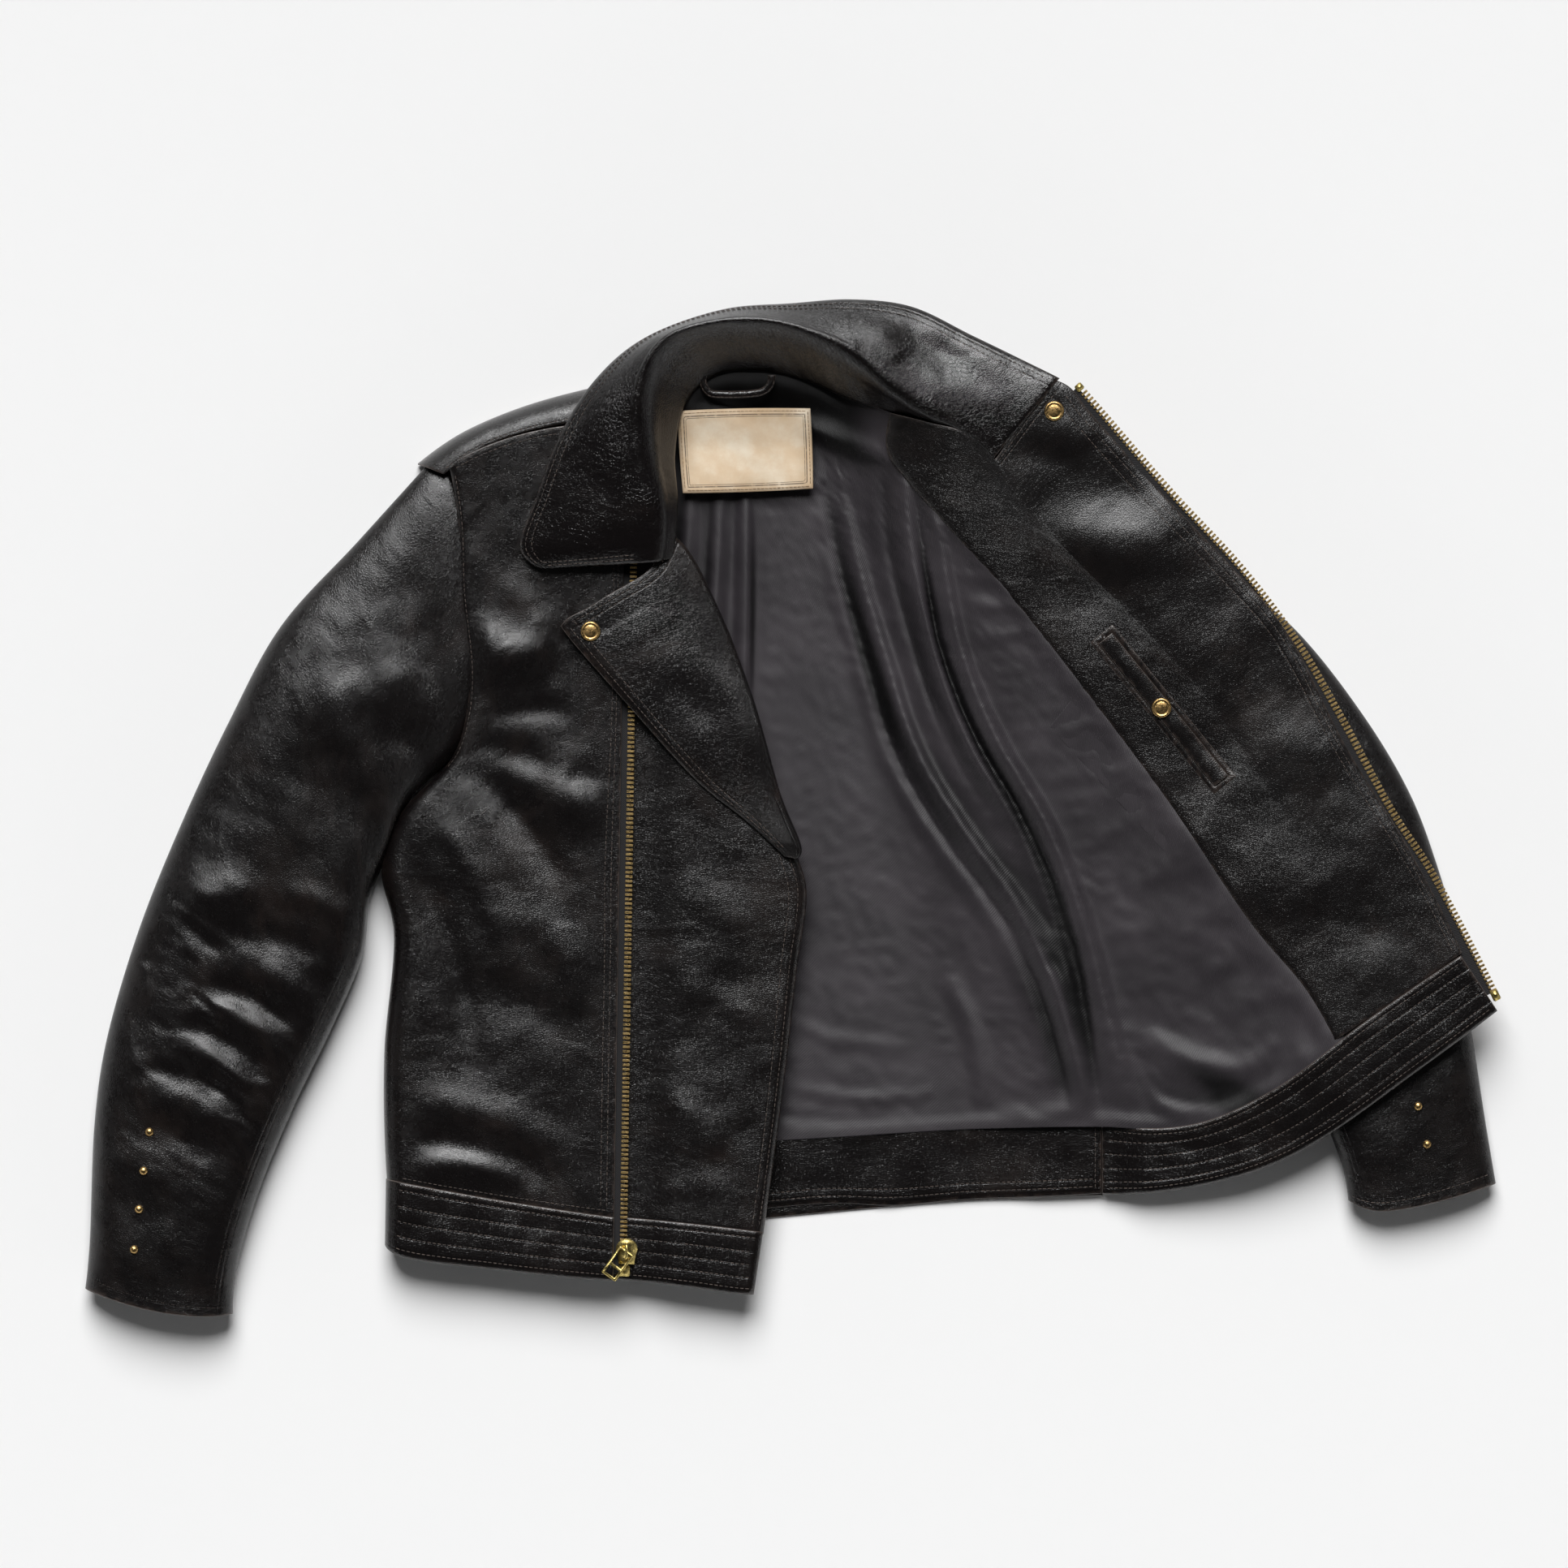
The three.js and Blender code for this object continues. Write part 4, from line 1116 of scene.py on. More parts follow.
def lining_waves(x, y):
    wave = 1.2 * rumple(x, y, 110, 71) + 0.3 * rumple(x, y, 45, 73)
    for line, left, right, height in LONG_FOLDS:
        wave = wave + fold(x, y, edge(*line), left, right, height)
    return wave


# Painted shadows in the lining's colour: each entry is a fold path, its falloff to the left and right in
# mm, and how far it lowers the shade value.
PAINTED_FOLD_SHADE = [
    (
        [
            [20, 247], [34, 205], [45, 156], [59, 106], [84, 50], [119, -7], [151, -49], [179, -91],
            [203, -134], [211, -190]
        ],
        15, 9, 4.6
    ),
    (
        [
            [80, 233], [98, 170], [112, 113], [136, 57], [161, 7], [186, -42], [200, -77], [212, -130],
            [218, -200]
        ],
        9, 16, 4.0
    ),
    ([[262, -160], [300, -192], [350, -226]], 18, 12, 4.0),
    ([[-30, 219], [-30, 140], [-31, 78]], 4, 3, 3.6), ([[-56, 240], [-62, 140], [-72, 40]], 7, 5, 3.4),
    ([[-80, 250], [-96, 140], [-108, 60]], 18, 12, 4.4),
    ([[150, -100], [180, -150], [196, -220]], 10, 8, 2.6),
    ([[70, 290], [100, 262], [140, 190]], 10, 22, 2.6)
]


def lining_shade(u, v):
    """4 on open cloth, down to 0 for painted shade: darker in the wave valleys, in painted shadows along
    the folds and in the collar's painted shadow up at the neck.
    """
    plan = lining_cut(u, v)
    x, y = plan[..., 0], plan[..., 1]
    open_cloth = 4.2 + 0.5 * lining_waves(x, y)
    for line, left, right, depth in PAINTED_FOLD_SHADE:
        open_cloth = open_cloth - fold(x, y, edge(*line), left, right, depth)
    neck = ease(0.84, 0.95, v) * (1 - ease(0.86, 1.0, u))
    return np.clip(open_cloth, 0.3, 4) * (1 - neck)


def lining_surface(u, v):
    plan = lining_cut(u, v)
    x, y = plan[..., 0], plan[..., 1]
    q = across_fold(x, y) - FOLD_AT
    base = np.where(q > 0, flap_height(x, y) + 3.7, 4.2 + (fold_height(y) - 5.1) * ease(-112, 0, q))
    near_neck = ease(0.88, 1, v) * (1 - ease(0.72, 0.9, u))
    base = base * (1 - near_neck) + np.maximum(base, neck_seam(x) + 0.5) * near_neck
    free = ease(0, 0.05, v) * (1 - ease(0.93, 1, v)) * ease(4, 26, (1 - u) * 520)
    wave = lining_waves(x, y)
    left_front = ease(6, 40, q)
    wave = wave + (0.35 + 0.5 * left_front) * crumple(x, y, -42, 14, 2.6, 77)
    gathers = np.exp(-(((1 - u) * 520 / 12) ** 2)) * ease(2, 6, (1 - u) * 520)
    wave = wave * free + 0.7 * gathers * crumple(x, y, -25, 6, 3.0, 75) * (1 - ease(0.9, 1, v))
    low = np.where(q > -6, base - 1.7, 3.0)
    z = np.maximum(base + wave, np.minimum(base, low)) - 1.6 * ease(6, 0, (1 - u) * 520)
    return raised(plan, z)


def settle_lining(core, u, v):
    """Lets the loose cloth sink onto what is below it, with a little more cloth than the space has."""
    coarse_u, coarse_v = np.linspace(0, 1, 96), np.linspace(0, 1, 100)
    grid = lining_surface(*np.meshgrid(coarse_u, coarse_v))
    rows, cols = grid.shape[:2]
    index = np.arange(rows * cols).reshape(rows, cols)
    faces = quads(index)
    cloth = build("settling_cloth", grid.reshape(-1, 3) * 10, faces)
    floor_grid = grid.copy()
    q = across_fold(grid[..., 0], grid[..., 1]) - FOLD_AT
    bed = np.where(
        q > 0, flap_height(grid[..., 0], grid[..., 1]) + 0.6,
        1.6 + (fold_height(grid[..., 1]) - 6.4) * ease(-112, 0, q)
    )
    floor_grid[..., 2] = np.minimum(bed, grid[..., 2] - 0.8)
    ground = build("settling_ground", floor_grid.reshape(-1, 3) * 10, faces)
    ground.modifiers.new("collide", "COLLISION")
    ground.collision.thickness_outer = 0.006
    pins = cloth.vertex_groups.new(name="sewn")
    edges_only = np.zeros((rows, cols), bool)
    edges_only[:2], edges_only[-3:], edges_only[:, :2], edges_only[:, -3:] = True, True, True, True
    pins.add(index[edges_only].tolist(), 1.0, "REPLACE")
    pins.add(index[~edges_only].tolist(), 0.0, "REPLACE")
    sim = cloth.modifiers.new("cloth", "CLOTH")
    sim.settings.quality = 6
    sim.settings.mass = 0.12
    sim.settings.tension_stiffness = sim.settings.compression_stiffness = 14
    sim.settings.shear_stiffness = 6
    sim.settings.bending_stiffness = 4.0
    sim.settings.air_damping = 2.5
    sim.settings.shrink_min = -0.004
    sim.settings.vertex_group_mass = "sewn"
    sim.collision_settings.distance_min = 0.006
    sim.collision_settings.use_self_collision = False
    sim.point_cache.frame_end = 26
    for step in range(1, 27):
        bpy.context.scene.frame_set(step)
    settled = cloth.evaluated_get(bpy.context.evaluated_depsgraph_get()).to_mesh()
    moved = np.zeros(rows * cols * 3, np.float32)
    settled.vertices.foreach_get("co", moved)
    shift = moved.reshape(rows, cols, 3) * 100 - grid
    shift = np.clip(shift, -9, 9)
    bpy.context.scene.frame_set(1)
    for thing in (cloth, ground):
        bpy.data.objects.remove(thing)
    fu, fv = u * (cols - 1), v * (rows - 1)
    return core + smooth_sample(shift, fv, fu)


def smooth_sample(values, row, col):
    """Reads a grid between its points with a cubic curve both ways."""
    def weights(t):
        return [
            -0.5 * t + t**2 - 0.5 * t**3, 1 - 2.5 * t**2 + 1.5 * t**3, 0.5 * t + 2 * t**2 - 1.5 * t**3,
            0.5 * (t**3 - t**2)
        ]

    r0, c0 = np.floor(row).astype(int), np.floor(col).astype(int)
    wr, wc = weights(row - r0), weights(col - c0)
    total = 0
    for i in range(4):
        for j in range(4):
            ri = np.clip(r0 + i - 1, 0, values.shape[0] - 1)
            ci = np.clip(c0 + j - 1, 0, values.shape[1] - 1)
            total = total + (wr[i] * wc[j])[..., None] * values[ri, ci]
    return total


lining = hide(
    "body_lining", lining_surface, 520, 540, 0.9, us=spread(520, 2.6), vs=spread(540, 3.0),
    settle=settle_lining, side=lining_shade
)
dress(lining, lining_cloth, "lining", "back_lining", "left_front_lining", place=BEND)

# ------------------------------------------------------------------ lapel
# The right front's upper corner, turned back along the roll line: its facing side is up,
# double-stitched at the edge, and the leather rolls round at the fold and runs on into the underlap
# below.
ROLL = 4.6
lapel_cut = patch(
    edge([-5, -35], [3, -37]),
    edge(
        [-169.5, 134], [-165, 139.5], [-150, 147.5], [-134, 157.5], [-109, 172.5], [-100, 182],
        [-95, 192], [-91, 203]
    ),
    edge([-5, -35], [-33, -9], [-67, 18], [-121, 77], [-163, 125], [-169.5, 134]),
    edge([3, -37], [7, -32], [-8, 9], [-29, 82], [-56, 151], [-78, 192], [-91, 203])
)


def lapel_side(u, v):
    """The flat part up to u = 0.86, then the half round of the fold back under itself."""
    flat = np.clip(u / 0.86, 0, 1)
    turn = np.clip((u - 0.86) / 0.14, 0, 1) * math.pi * 0.86
    narrow = ease(0.0, 0.06, v)
    plan = lapel_cut(flat, v)
    x, y = plan[..., 0], plan[..., 1]
    out = lapel_cut(1.0 + 0 * u, v) - lapel_cut(0.97 + 0 * u, v)
    out /= np.maximum(np.linalg.norm(out, axis=-1, keepdims=True), 1e-6)
    roll = ROLL * (0.55 + 0.45 * narrow)
    plan = plan - out * (roll * flat**6)[..., None] + out * (roll * np.sin(turn))[..., None]
    wide = 90 * np.sin(np.clip(v * 1.1, 0, 1) * math.pi) ** 0.6 + 6
    top = (
        31.6 + 5.4 * (1 - flat) * ease(0.25, 0.8, v)
        + 1.2 * rumple(x, y, 52, 83) * np.minimum(1, wide / 40) * narrow
    )
    top = (
        top + 2.4 * np.sin(np.clip(flat, 0, 1) * math.pi) * narrow
        - 1.4 * (1 - np.clip(flat * wide / 5, 0, 1)) ** 2
    )
    top = top + crease(x, y, (-60, 110), (-24, 30), 13, 1.8) + crease(x, y, (-92, 96), (-60, 60), 10, -1.2)
    z = top - roll * (1 - np.cos(turn))
    return raised(plan, z)


lapel_us = np.r_[spread(86, 2.2)[:-4] * 0.86, np.linspace(0.86, 1, 14)]
lapel = hide(
    "right_lapel_leather", lapel_side, 100, 275, 1.5, us=lapel_us, vs=spread(275, 2.4),
    side=lambda u, v: np.minimum(
        near_rows(u * 108 * (0.25 + 0.75 * np.sin(np.clip(v * 1.25, 0, 1) * math.pi / 2)), 4.5, 9.0),
        near_rows((1 - v) * 260, 4.5, 9.5)
    )
)
LAPEL_TURN = ("lapel", {"start": (-0.01044, -0.00588, 0), "end": (-0.0435, -0.0245, 0)})
lapel_leather = leather("lapel_leather", gloss=0.30, brown=0.7, creasing=0.5)
dress(lapel, lapel_leather, "black_leather", "right_lapel", place=LAPEL_TURN)
up = np.linspace(0.03, 0.985, 80)
for away in (4.5, 9.0):
    sew(
        "lapel", lapel_side,
        away / (108 * (0.25 + 0.75 * np.sin(np.clip(up * 1.25, 0, 1) * math.pi / 2))), up
    )
sew("lapel", lapel_side, np.linspace(0.05, 0.84, 30), 1 - 4.5 / 260)
sew("lapel", lapel_side, np.linspace(0.09, 0.84, 30), 1 - 9.5 / 260)

# ------------------------------------------------------------------ collar
# One shirt-like collar: the stand rises inside the neck from the seam to the fold, and the fall lies
# outside it. The right leaf lies closed on the front; towards the left it opens flat with the
# thrown-back front.
collar_foot = edge(
    [-88, 184, 32], [-84, 222, 34], [-86, 262, 26], [-78.5, 298, 19.5], [-57, 319.5, 14.2],
    [-30, 323.8, 13.4], [9, 317, 14.8], [44, 301.5, 22.4], [80, 291, 34], [104, 284, 42],
    [126, 276.5, 45.5], [149, 257, 45.5]
)
collar_fold = edge(
    [-100.5, 181, 42.5], [-98, 221, 51], [-107, 266, 55], [-106, 318, 58.5], [-90, 345, 60],
    [-51, 357, 60.5], [-8, 355, 60], [40, 334, 59], [70, 309, 57.5], [97, 291, 54.5], [122, 281, 50.5],
    [149.6, 258.6, 47.2]
)
collar_edge = edge(
    [-183, 177, 36.5], [-199, 190, 37], [-187, 230, 38.5], [-172, 270, 38], [-147, 311, 35],
    [-112, 343, 29], [-51, 366.5, 25], [0, 371, 29], [45, 374, 31], [88, 369, 32], [134, 347, 35],
    [197, 316, 45]
)

COLLAR_FOLD = 0.72


def collar_side(u, v):
    """u runs from the edge of the fall at 0, over the fold at COLLAR_FOLD, to the neck seam at 1."""
    u, v = np.broadcast_arrays(np.asarray(u, float), np.asarray(v, float))
    foot, top, rim = collar_foot(v), collar_fold(v), collar_edge(v)
    fall = np.clip(u / COLLAR_FOLD, 0, 1)[..., None]
    stand = np.clip((u - COLLAR_FOLD) / 0.28, 0, 1)[..., None]
    flat = rim * (1 - fall) + top * fall
    inner = top * (1 - stand) + foot * stand
    soft = 0.13
    mixed = np.clip((u - COLLAR_FOLD + soft) / (2 * soft), 0, 1)[..., None]
    a, b = rim + (top - rim) * (1 - soft / COLLAR_FOLD), top + (foot - top) * (soft / 0.28)
    lifted = top + (2 * top - a - b) * 0.18
    bow = a * (1 - mixed) ** 2 + 2 * lifted * mixed * (1 - mixed) + b * mixed**2
    near = (np.abs(u - COLLAR_FOLD) < soft)[..., None]
    shape = np.where(near, bow, np.where((u < COLLAR_FOLD)[..., None], flat, inner))
    open_end = ease(0.62, 0.86, v)
    x, y = shape[..., 0], shape[..., 1]
    body = np.sin(np.clip(u / COLLAR_FOLD, 0, 1) * math.pi)
    puff = (3.2 - 1.2 * open_end) * body * ease(0, 0.04, v) + 1.5 * rumple(x, y, 44, 91) * body
    puff = (
        puff + crease(x, y, (70, 352), (128, 318), 12, -2.6) * open_end
        + crease(x, y, (96, 356), (160, 318), 12, 2.0)
    )
    puff = puff + crease(x, y, (30, 362), (84, 330), 13, 2.0) - 1.3 * (1 - np.clip(u * 95 / 5, 0, 1)) ** 2
    dent = 1.2 * (1 - np.clip((1 - v) * 560 / 5, 0, 1)) ** 2 + 1.2 * (1 - np.clip(v * 560 / 5, 0, 1)) ** 2
    shape = shape.copy()
    shape[..., 2] += puff - dent * (u < 0.6)
    return shape


collar = hide(
    "collar_leather", collar_side, 140, 600, 2.6, us=spread(140, 2.0), vs=spread(600, 2.6),
    side=lambda u, v: np.minimum(
        near_rows(u * np.linalg.norm(collar_edge(v) - collar_fold(v), axis=-1) / COLLAR_FOLD, 4.5, 9.0),
        np.where(u < 0.62, near_rows(v * 560, 5.0, 9.5), 4.0)
    )
)
collar_leather = leather("collar_leather", gloss=0.25, brown=0.2, crackle=0.7, grain=0.8)
dress(
    collar, collar_leather, "black_leather", "collar_stand", "collar_right_leaf", "collar_back_fall",
    "collar_left_leaf", "collar_left_point", place=BEND
)
along = np.linspace(0.012, 0.985, 150)
fall_wide = np.linalg.norm(collar_edge(along) - collar_fold(along), axis=-1) / COLLAR_FOLD
for away in (4.5, 9.0):
    sew("collar", collar_side, away / fall_wide, along, lift=1.3)
for away in (5.0, 9.5):
    sew("collar", collar_side, np.linspace(0.05, 0.6, 40), away / 560, lift=1.3)

# ------------------------------------------------------------------ zips
# A heavy brass chain: each half is a row of teeth clamped on the edge of a black cotton tape.
def brass(name, worn=0.5, bright=(0.56, 0.37, 0.15, 1)):
    """Aged brass: bright where it is rubbed, brown in the hollows, fine scratches and casting specks."""
    made = new_finish(name)
    spot = Tone.node("ShaderNodeTexCoord", out=3)
    tarnish = Tone.node(
        "ShaderNodeTexNoise", Vector=spot, Scale=420.0, Detail=5.0, Roughness=0.7
    ).between(0.38, 0.66)
    scratch = Tone.node("ShaderNodeTexNoise", Vector=spot, Scale=1500.0, Detail=2.0)
    tint = (tarnish * worn).mix(bright, (0.20, 0.12, 0.05, 1))
    body_of(
        Base_Color=tint, Metallic=1.0, Roughness=tarnish * 0.22 + scratch * 0.08 + 0.2,
        Normal=bump(scratch + tarnish * 0.6, 0.00008)
    )
    return made


def scatter(name, points, faces, rows):
    """Copies of one small shape, each at a middle, pointing ahead, with its own up."""
    middle, ahead, up = (np.concatenate([row[i] for row in rows]) for i in range(3))
    ahead = ahead / np.linalg.norm(ahead, axis=-1, keepdims=True)
    across = np.cross(up, ahead)
    across /= np.linalg.norm(across, axis=-1, keepdims=True)
    up = np.cross(ahead, across)
    points = np.asarray(points)
    placed = (
        middle[:, None] + points[None, :, :1] * ahead[:, None] - points[None, :, 1:2] * across[:, None]
        + points[None, :, 2:] * up[:, None]
    )
    shift = np.arange(len(middle))[:, None, None] * len(points)
    made = build(
        name, placed.reshape(-1, 3), (np.asarray(faces)[None] + shift).reshape(-1, np.shape(faces)[1])
    )
    made.data.polygons.foreach_set("use_smooth", np.zeros(len(made.data.polygons), bool))
    return made


def bevelled(length, width, height, bevel, waist=1.0):
    """A small block with chamfered edges, as points and triangles."""
    made = bmesh.new()
    bmesh.ops.create_cube(made, size=1)
    for vert in made.verts:
        vert.co = (
            vert.co.x * length, vert.co.y * width * (waist if vert.co.x > 0 else 1), vert.co.z * height
        )
    bmesh.ops.bevel(made, geom=made.edges[:], offset=bevel, segments=1, affect="EDGES")
    bmesh.ops.triangulate(made, faces=made.faces[:])
    made.verts.index_update()
    shape = (
        [list(vert.co) for vert in made.verts],
        [[vert.index for vert in face.verts] for face in made.faces]
    )
    made.free()
    return shape


PITCH = 3.3
tooth = bevelled(1.75, 5.4, 2.4, 0.32)
teeth_brass = brass("teeth_brass", 0.45, (0.66, 0.48, 0.21, 1))
zip_way = np.r_[(ZIP_HEAD - ZIP_FOOT), 0] / np.linalg.norm(ZIP_HEAD - ZIP_FOOT)
right_places = np.r_[ZIP_FOOT, 26.8] + zip_way * np.arange(6, 559, PITCH)[:, None]
left_chain = edge(
    [517.2, -142, 38.6], [500, -107, 38.6], [468, -47, 38.6], [440, -4, 38.6], [402, 66, 38.6],
    [370, 121, 38.6], [330, 174, 39.6], [277, 231, 41.6], [224, 292, 42.6], [208, 310, 42.6]
)
left_at = np.arange(8, left_chain.length - 6, PITCH) / left_chain.length
left_way = left_chain(left_at + 0.003) - left_chain(left_at - 0.003)
left_way[:, 2] = 0
left_way /= np.linalg.norm(left_way, axis=-1, keepdims=True)
left_out = np.stack([-left_way[:, 1], left_way[:, 0], 0 * left_at], -1) * -1
left_places = left_chain(left_at) + left_out * 2.4
for name, places, ways, body, node in (
    ("right_zip_teeth", right_places, zip_way + 0 * right_places, "body", "right_zip_chain"),
    ("left_zip_teeth", left_places, left_way, "open_front", "left_zip_chain")
):
    upward = np.tile([0.0, 0.0, 1.0], (len(places), 1))
    teeth = scatter(name, *tooth, [(places, ways, upward)])
    dress(teeth, teeth_brass, "brass", node, place=body)


def woven_tape(name):
    made = new_finish(name)
    ribs = Tone.node(
        "ShaderNodeTexWave", {"bands_direction": "DIAGONAL"}, Vector=cut_map(), Scale=420.0,
        Distortion=0.4
    )
    tint = (ribs * 0.6).mix((0.007, 0.0062, 0.0075, 1), (0.003, 0.0026, 0.0032, 1))
    body_of(Base_Color=tint, Roughness=clouds(80, 3) * 0.15 + 0.7, Normal=bump(ribs, 0.00015))
    return made


tape_cloth = woven_tape("tape_cloth")
zip_side = np.array([zip_way[1], -zip_way[0], 0])


def right_tape(u, v):
    along = np.asarray(v)[..., None] * 570 - 2
    return np.r_[ZIP_FOOT, 26.6] + zip_way * along + zip_side * (np.asarray(u)[..., None] * 17.5 - 17.0)


def left_tape(u, v):
    t = 0.012 + 0.985 * np.asarray(v, float)
    way = left_chain(t + 0.003) - left_chain(t - 0.003)
    out = np.stack([way[..., 1], -way[..., 0], 0 * t], -1)
    out /= np.maximum(np.linalg.norm(out, axis=-1, keepdims=True), 1e-9)
    place = left_chain(t) + out * (np.asarray(u, float)[..., None] * 14 - 12.5)
    place[..., 2] -= 0.6 * (1 - np.asarray(u)) * 3
    return place


for name, surface, wide, long, body, node, below in (
    ("right_zip_tape_cloth", right_tape, 17.5, 570, "body", "right_zip_tape", "right_front_leather"),
    ("left_zip_tape_cloth", left_tape, 14, 545, "open_front", "left_zip_tape", "left_front_leather")
):
    strip = hide(name, surface, wide, long, 0.9, us=spread(wide, 2.5, (0, 0.15, 0.45)), vs=spread(long, 5))
    dress(strip, tape_cloth, "zip_tape", node, place=body)

# The zip's ends, slider and pull: cast brass, every edge softened. The pull is a ring with one cross bar.
cast_brass = brass("cast_brass", 0.35, (0.70, 0.56, 0.20, 1))
for node, softness, body in (
    ("zip_slider", 0.45, "slider"), ("zip_pull", 0.5, "pull"), ("right_zip_box", 0.6, "body"),
    ("right_zip_top_stop", 0.6, "body"), ("left_zip_pin", 0.6, "open_front"),
    ("left_zip_top_stop", 0.6, "open_front")
):
    cast = bpy.data.objects.new(node + "_brass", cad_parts[node].data.copy())
    bpy.context.scene.collection.objects.link(cast)
    shape = bmesh.new()
    shape.from_mesh(cast.data)
    bmesh.ops.remove_doubles(shape, verts=shape.verts[:], dist=0.00001)
    bmesh.ops.dissolve_limit(shape, angle_limit=0.03, verts=shape.verts[:], edges=shape.edges[:])
    sharp = [e for e in shape.edges if len(e.link_faces) == 2 and e.calc_face_angle() > 0.5]
    bmesh.ops.bevel(
        shape, geom=sharp, offset=softness * 0.001, segments=2, affect="EDGES", clamp_overlap=True
    )
    bmesh.ops.triangulate(shape, faces=[f for f in shape.faces if len(f.verts) > 4])
    for face in shape.faces:
        face.smooth = True
    shape.to_mesh(cast.data)
    shape.free()
    cast.data.materials.clear()
    dress(cast, cast_brass, "brass", node, place=body)

# ------------------------------------------------------------------ snaps and cuff studs
# Spun brass caps with a rolled rim and a shallow dished face, left plain. Studs are domes.
def lathe(name, profile, sides, middles):
    """Turned pieces: profile is (radius, height) from mid top round to mid underside."""
    angle = np.linspace(0, 2 * math.pi, sides, endpoint=False)
    ring = np.array(profile)
    shape = np.stack(
        [ring[:, :1] * np.cos(angle), ring[:, :1] * np.sin(angle), ring[:, 1:] + 0 * angle[None]], -1
    ).reshape(-1, 3)
    grid = np.arange(len(profile) * sides).reshape(len(profile), sides)
    turn = np.roll(grid, -1, 1)
    faces = np.stack([grid[:-1], grid[1:], turn[1:], turn[:-1]], -1).reshape(-1, 4)
    points = np.concatenate([shape + middle for middle in middles])
    shifted = np.concatenate([faces + k * len(shape) for k in range(len(middles))])
    return build(name, points, shifted)


SNAP = [
    (0.02, 2.5), (2.2, 2.45), (3.6, 2.3), (4.5, 2.05), (4.9, 1.95), (5.2, 2.1), (5.6, 2.35),
    (6.1, 2.42), (6.7, 2.2), (7.1, 1.7), (7.3, 1.0), (7.2, 0.4), (6.8, 0.0), (0.02, 0.0)
]
STUD = [(0.02, 2.7), (0.9, 2.62), (1.8, 2.3), (2.6, 1.65), (3.05, 0.9), (3.2, 0.3), (3.1, 0.0), (0.02, 0.0)]
POST = [(0.02, 1.5), (2.2, 1.5), (2.6, 1.2), (2.9, 0.5), (4.6, 0.4), (5.0, 0.0), (0.02, 0.0)]
snap_brass = brass("snap_brass", 0.6)


def centre(node):
    low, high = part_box(node)
    return np.array((low + high) / 2) * 1000


def lapel_snap_at():
    u = np.linspace(0, 0.6, 61)[None, :] + np.zeros((81, 1))
    v = np.linspace(0.6, 1, 81)[:, None] + np.zeros((1, 61))
    grid = lapel_side(u, v)
    gap = np.hypot(grid[..., 0] + 148, grid[..., 1] - 130)
    return grid[np.unravel_index(gap.argmin(), gap.shape)]


snap_at = lapel_snap_at()
for name, profile, middle, body, node in (
    ("right_lapel_snap_cap", SNAP, snap_at + [0, 0, 0.9], "lapel", "right_lapel_snap"),
    (
        "left_lapel_snap_cap", SNAP, np.r_[193, 292, flap_height(193.0, 292.0) + 5.1], "open_front",
        "left_lapel_snap"
    ),
    (
        "pocket_snap_cap", SNAP, np.r_[272, 74, flap_height(272.0, 74.0) + 7.0], "pocket_welt",
        "pocket_snap"
    ),
    ("right_front_snap_ring", POST, np.r_[-148, 130, 28.9], "body", "right_front_snap_post")
):
    cap = lathe(name, profile, 40, [middle])
    dress(cap, snap_brass, "brass", node, place=body)
under_snap = lathe("right_lapel_snap_back", POST, 40, [snap_at * [1, -1, -1] + [0, 0, 0.8]])
for vert in under_snap.data.vertices:
    vert.co = (vert.co.x, -vert.co.y, -vert.co.z)
under_snap.data.flip_normals()
dress(under_snap, snap_brass, "brass", "right_lapel_snap_socket", place="lapel")
for side, outline in (("right", right_sleeve), ("left", left_sleeve)):
    for row in range(1, 5):
        node = f"{side}_cuff_stud_{row}"
        spot = centre(node)
        s, v = np.meshgrid(np.linspace(-0.9, 0.9, 181), np.linspace(0.7, 0.99, 121))
        grid = outline(s, v, np.ones(s.shape))
        nearest = np.hypot(grid[..., 0] - spot[0], grid[..., 1] - spot[1]).argmin()
        stud = lathe(node + "_dome", STUD, 28, [grid.reshape(-1, 3)[nearest]])
        dress(stud, snap_brass, "brass", node)

# ------------------------------------------------------------------ label and hanger loop
# A tan cotton label with a plain printed double border, edges turned under, sewn to the lining; above
# it the loop.
def label_finish():
    made = new_finish("label_cotton")
    place = cut_map()
    warp = Tone.node(
        "ShaderNodeTexWave", {"bands_direction": "X"}, Vector=place, Scale=520.0, Distortion=0.3
    )
    weft = Tone.node(
        "ShaderNodeTexWave", {"bands_direction": "Y"}, Vector=place, Scale=520.0, Distortion=0.3
    )
    rim = amount("rim")
    ink = (
        rim.between(3.9, 4.1) * (1 - rim.between(4.7, 4.9))
        + rim.between(5.5, 5.7) * (1 - rim.between(5.9, 6.1))
    ) * 0.8
    aged = clouds(24, 5, rough=0.65).between(0.36, 0.68)
    smoky = clouds(9, 3).between(0.45, 0.7)
    tint = aged.mix((0.84, 0.64, 0.43, 1), (0.98, 0.86, 0.68, 1))
    tint = (smoky * 0.30).mix(tint, (0.38, 0.25, 0.14, 1))
    tint = ((1 - rim.between(0.0, 2.2)) * 0.4).mix(tint, (0.30, 0.19, 0.10, 1))
    tint = (
        (1 - rim.between(2.0, 17.0)) * clouds(30, 3).between(0.3, 0.6) * 0.6
    ).mix(tint, (0.5, 0.33, 0.17, 1))
    tint = (warp * 0.14).mix(tint, (0.35, 0.26, 0.17, 1))
    tint = (ink * (clouds(300, 2).between(0.3, 0.5) * 0.5 + 0.5)).mix(tint, (0.07, 0.045, 0.03, 1))
    height = warp * 0.5 + weft * 0.5 + clouds(40, 4) * 2.0
    body_of(Base_Color=tint, Roughness=aged * 0.1 + 0.72, Normal=bump(height, 0.0002), Sheen_Weight=0.15)
    return made


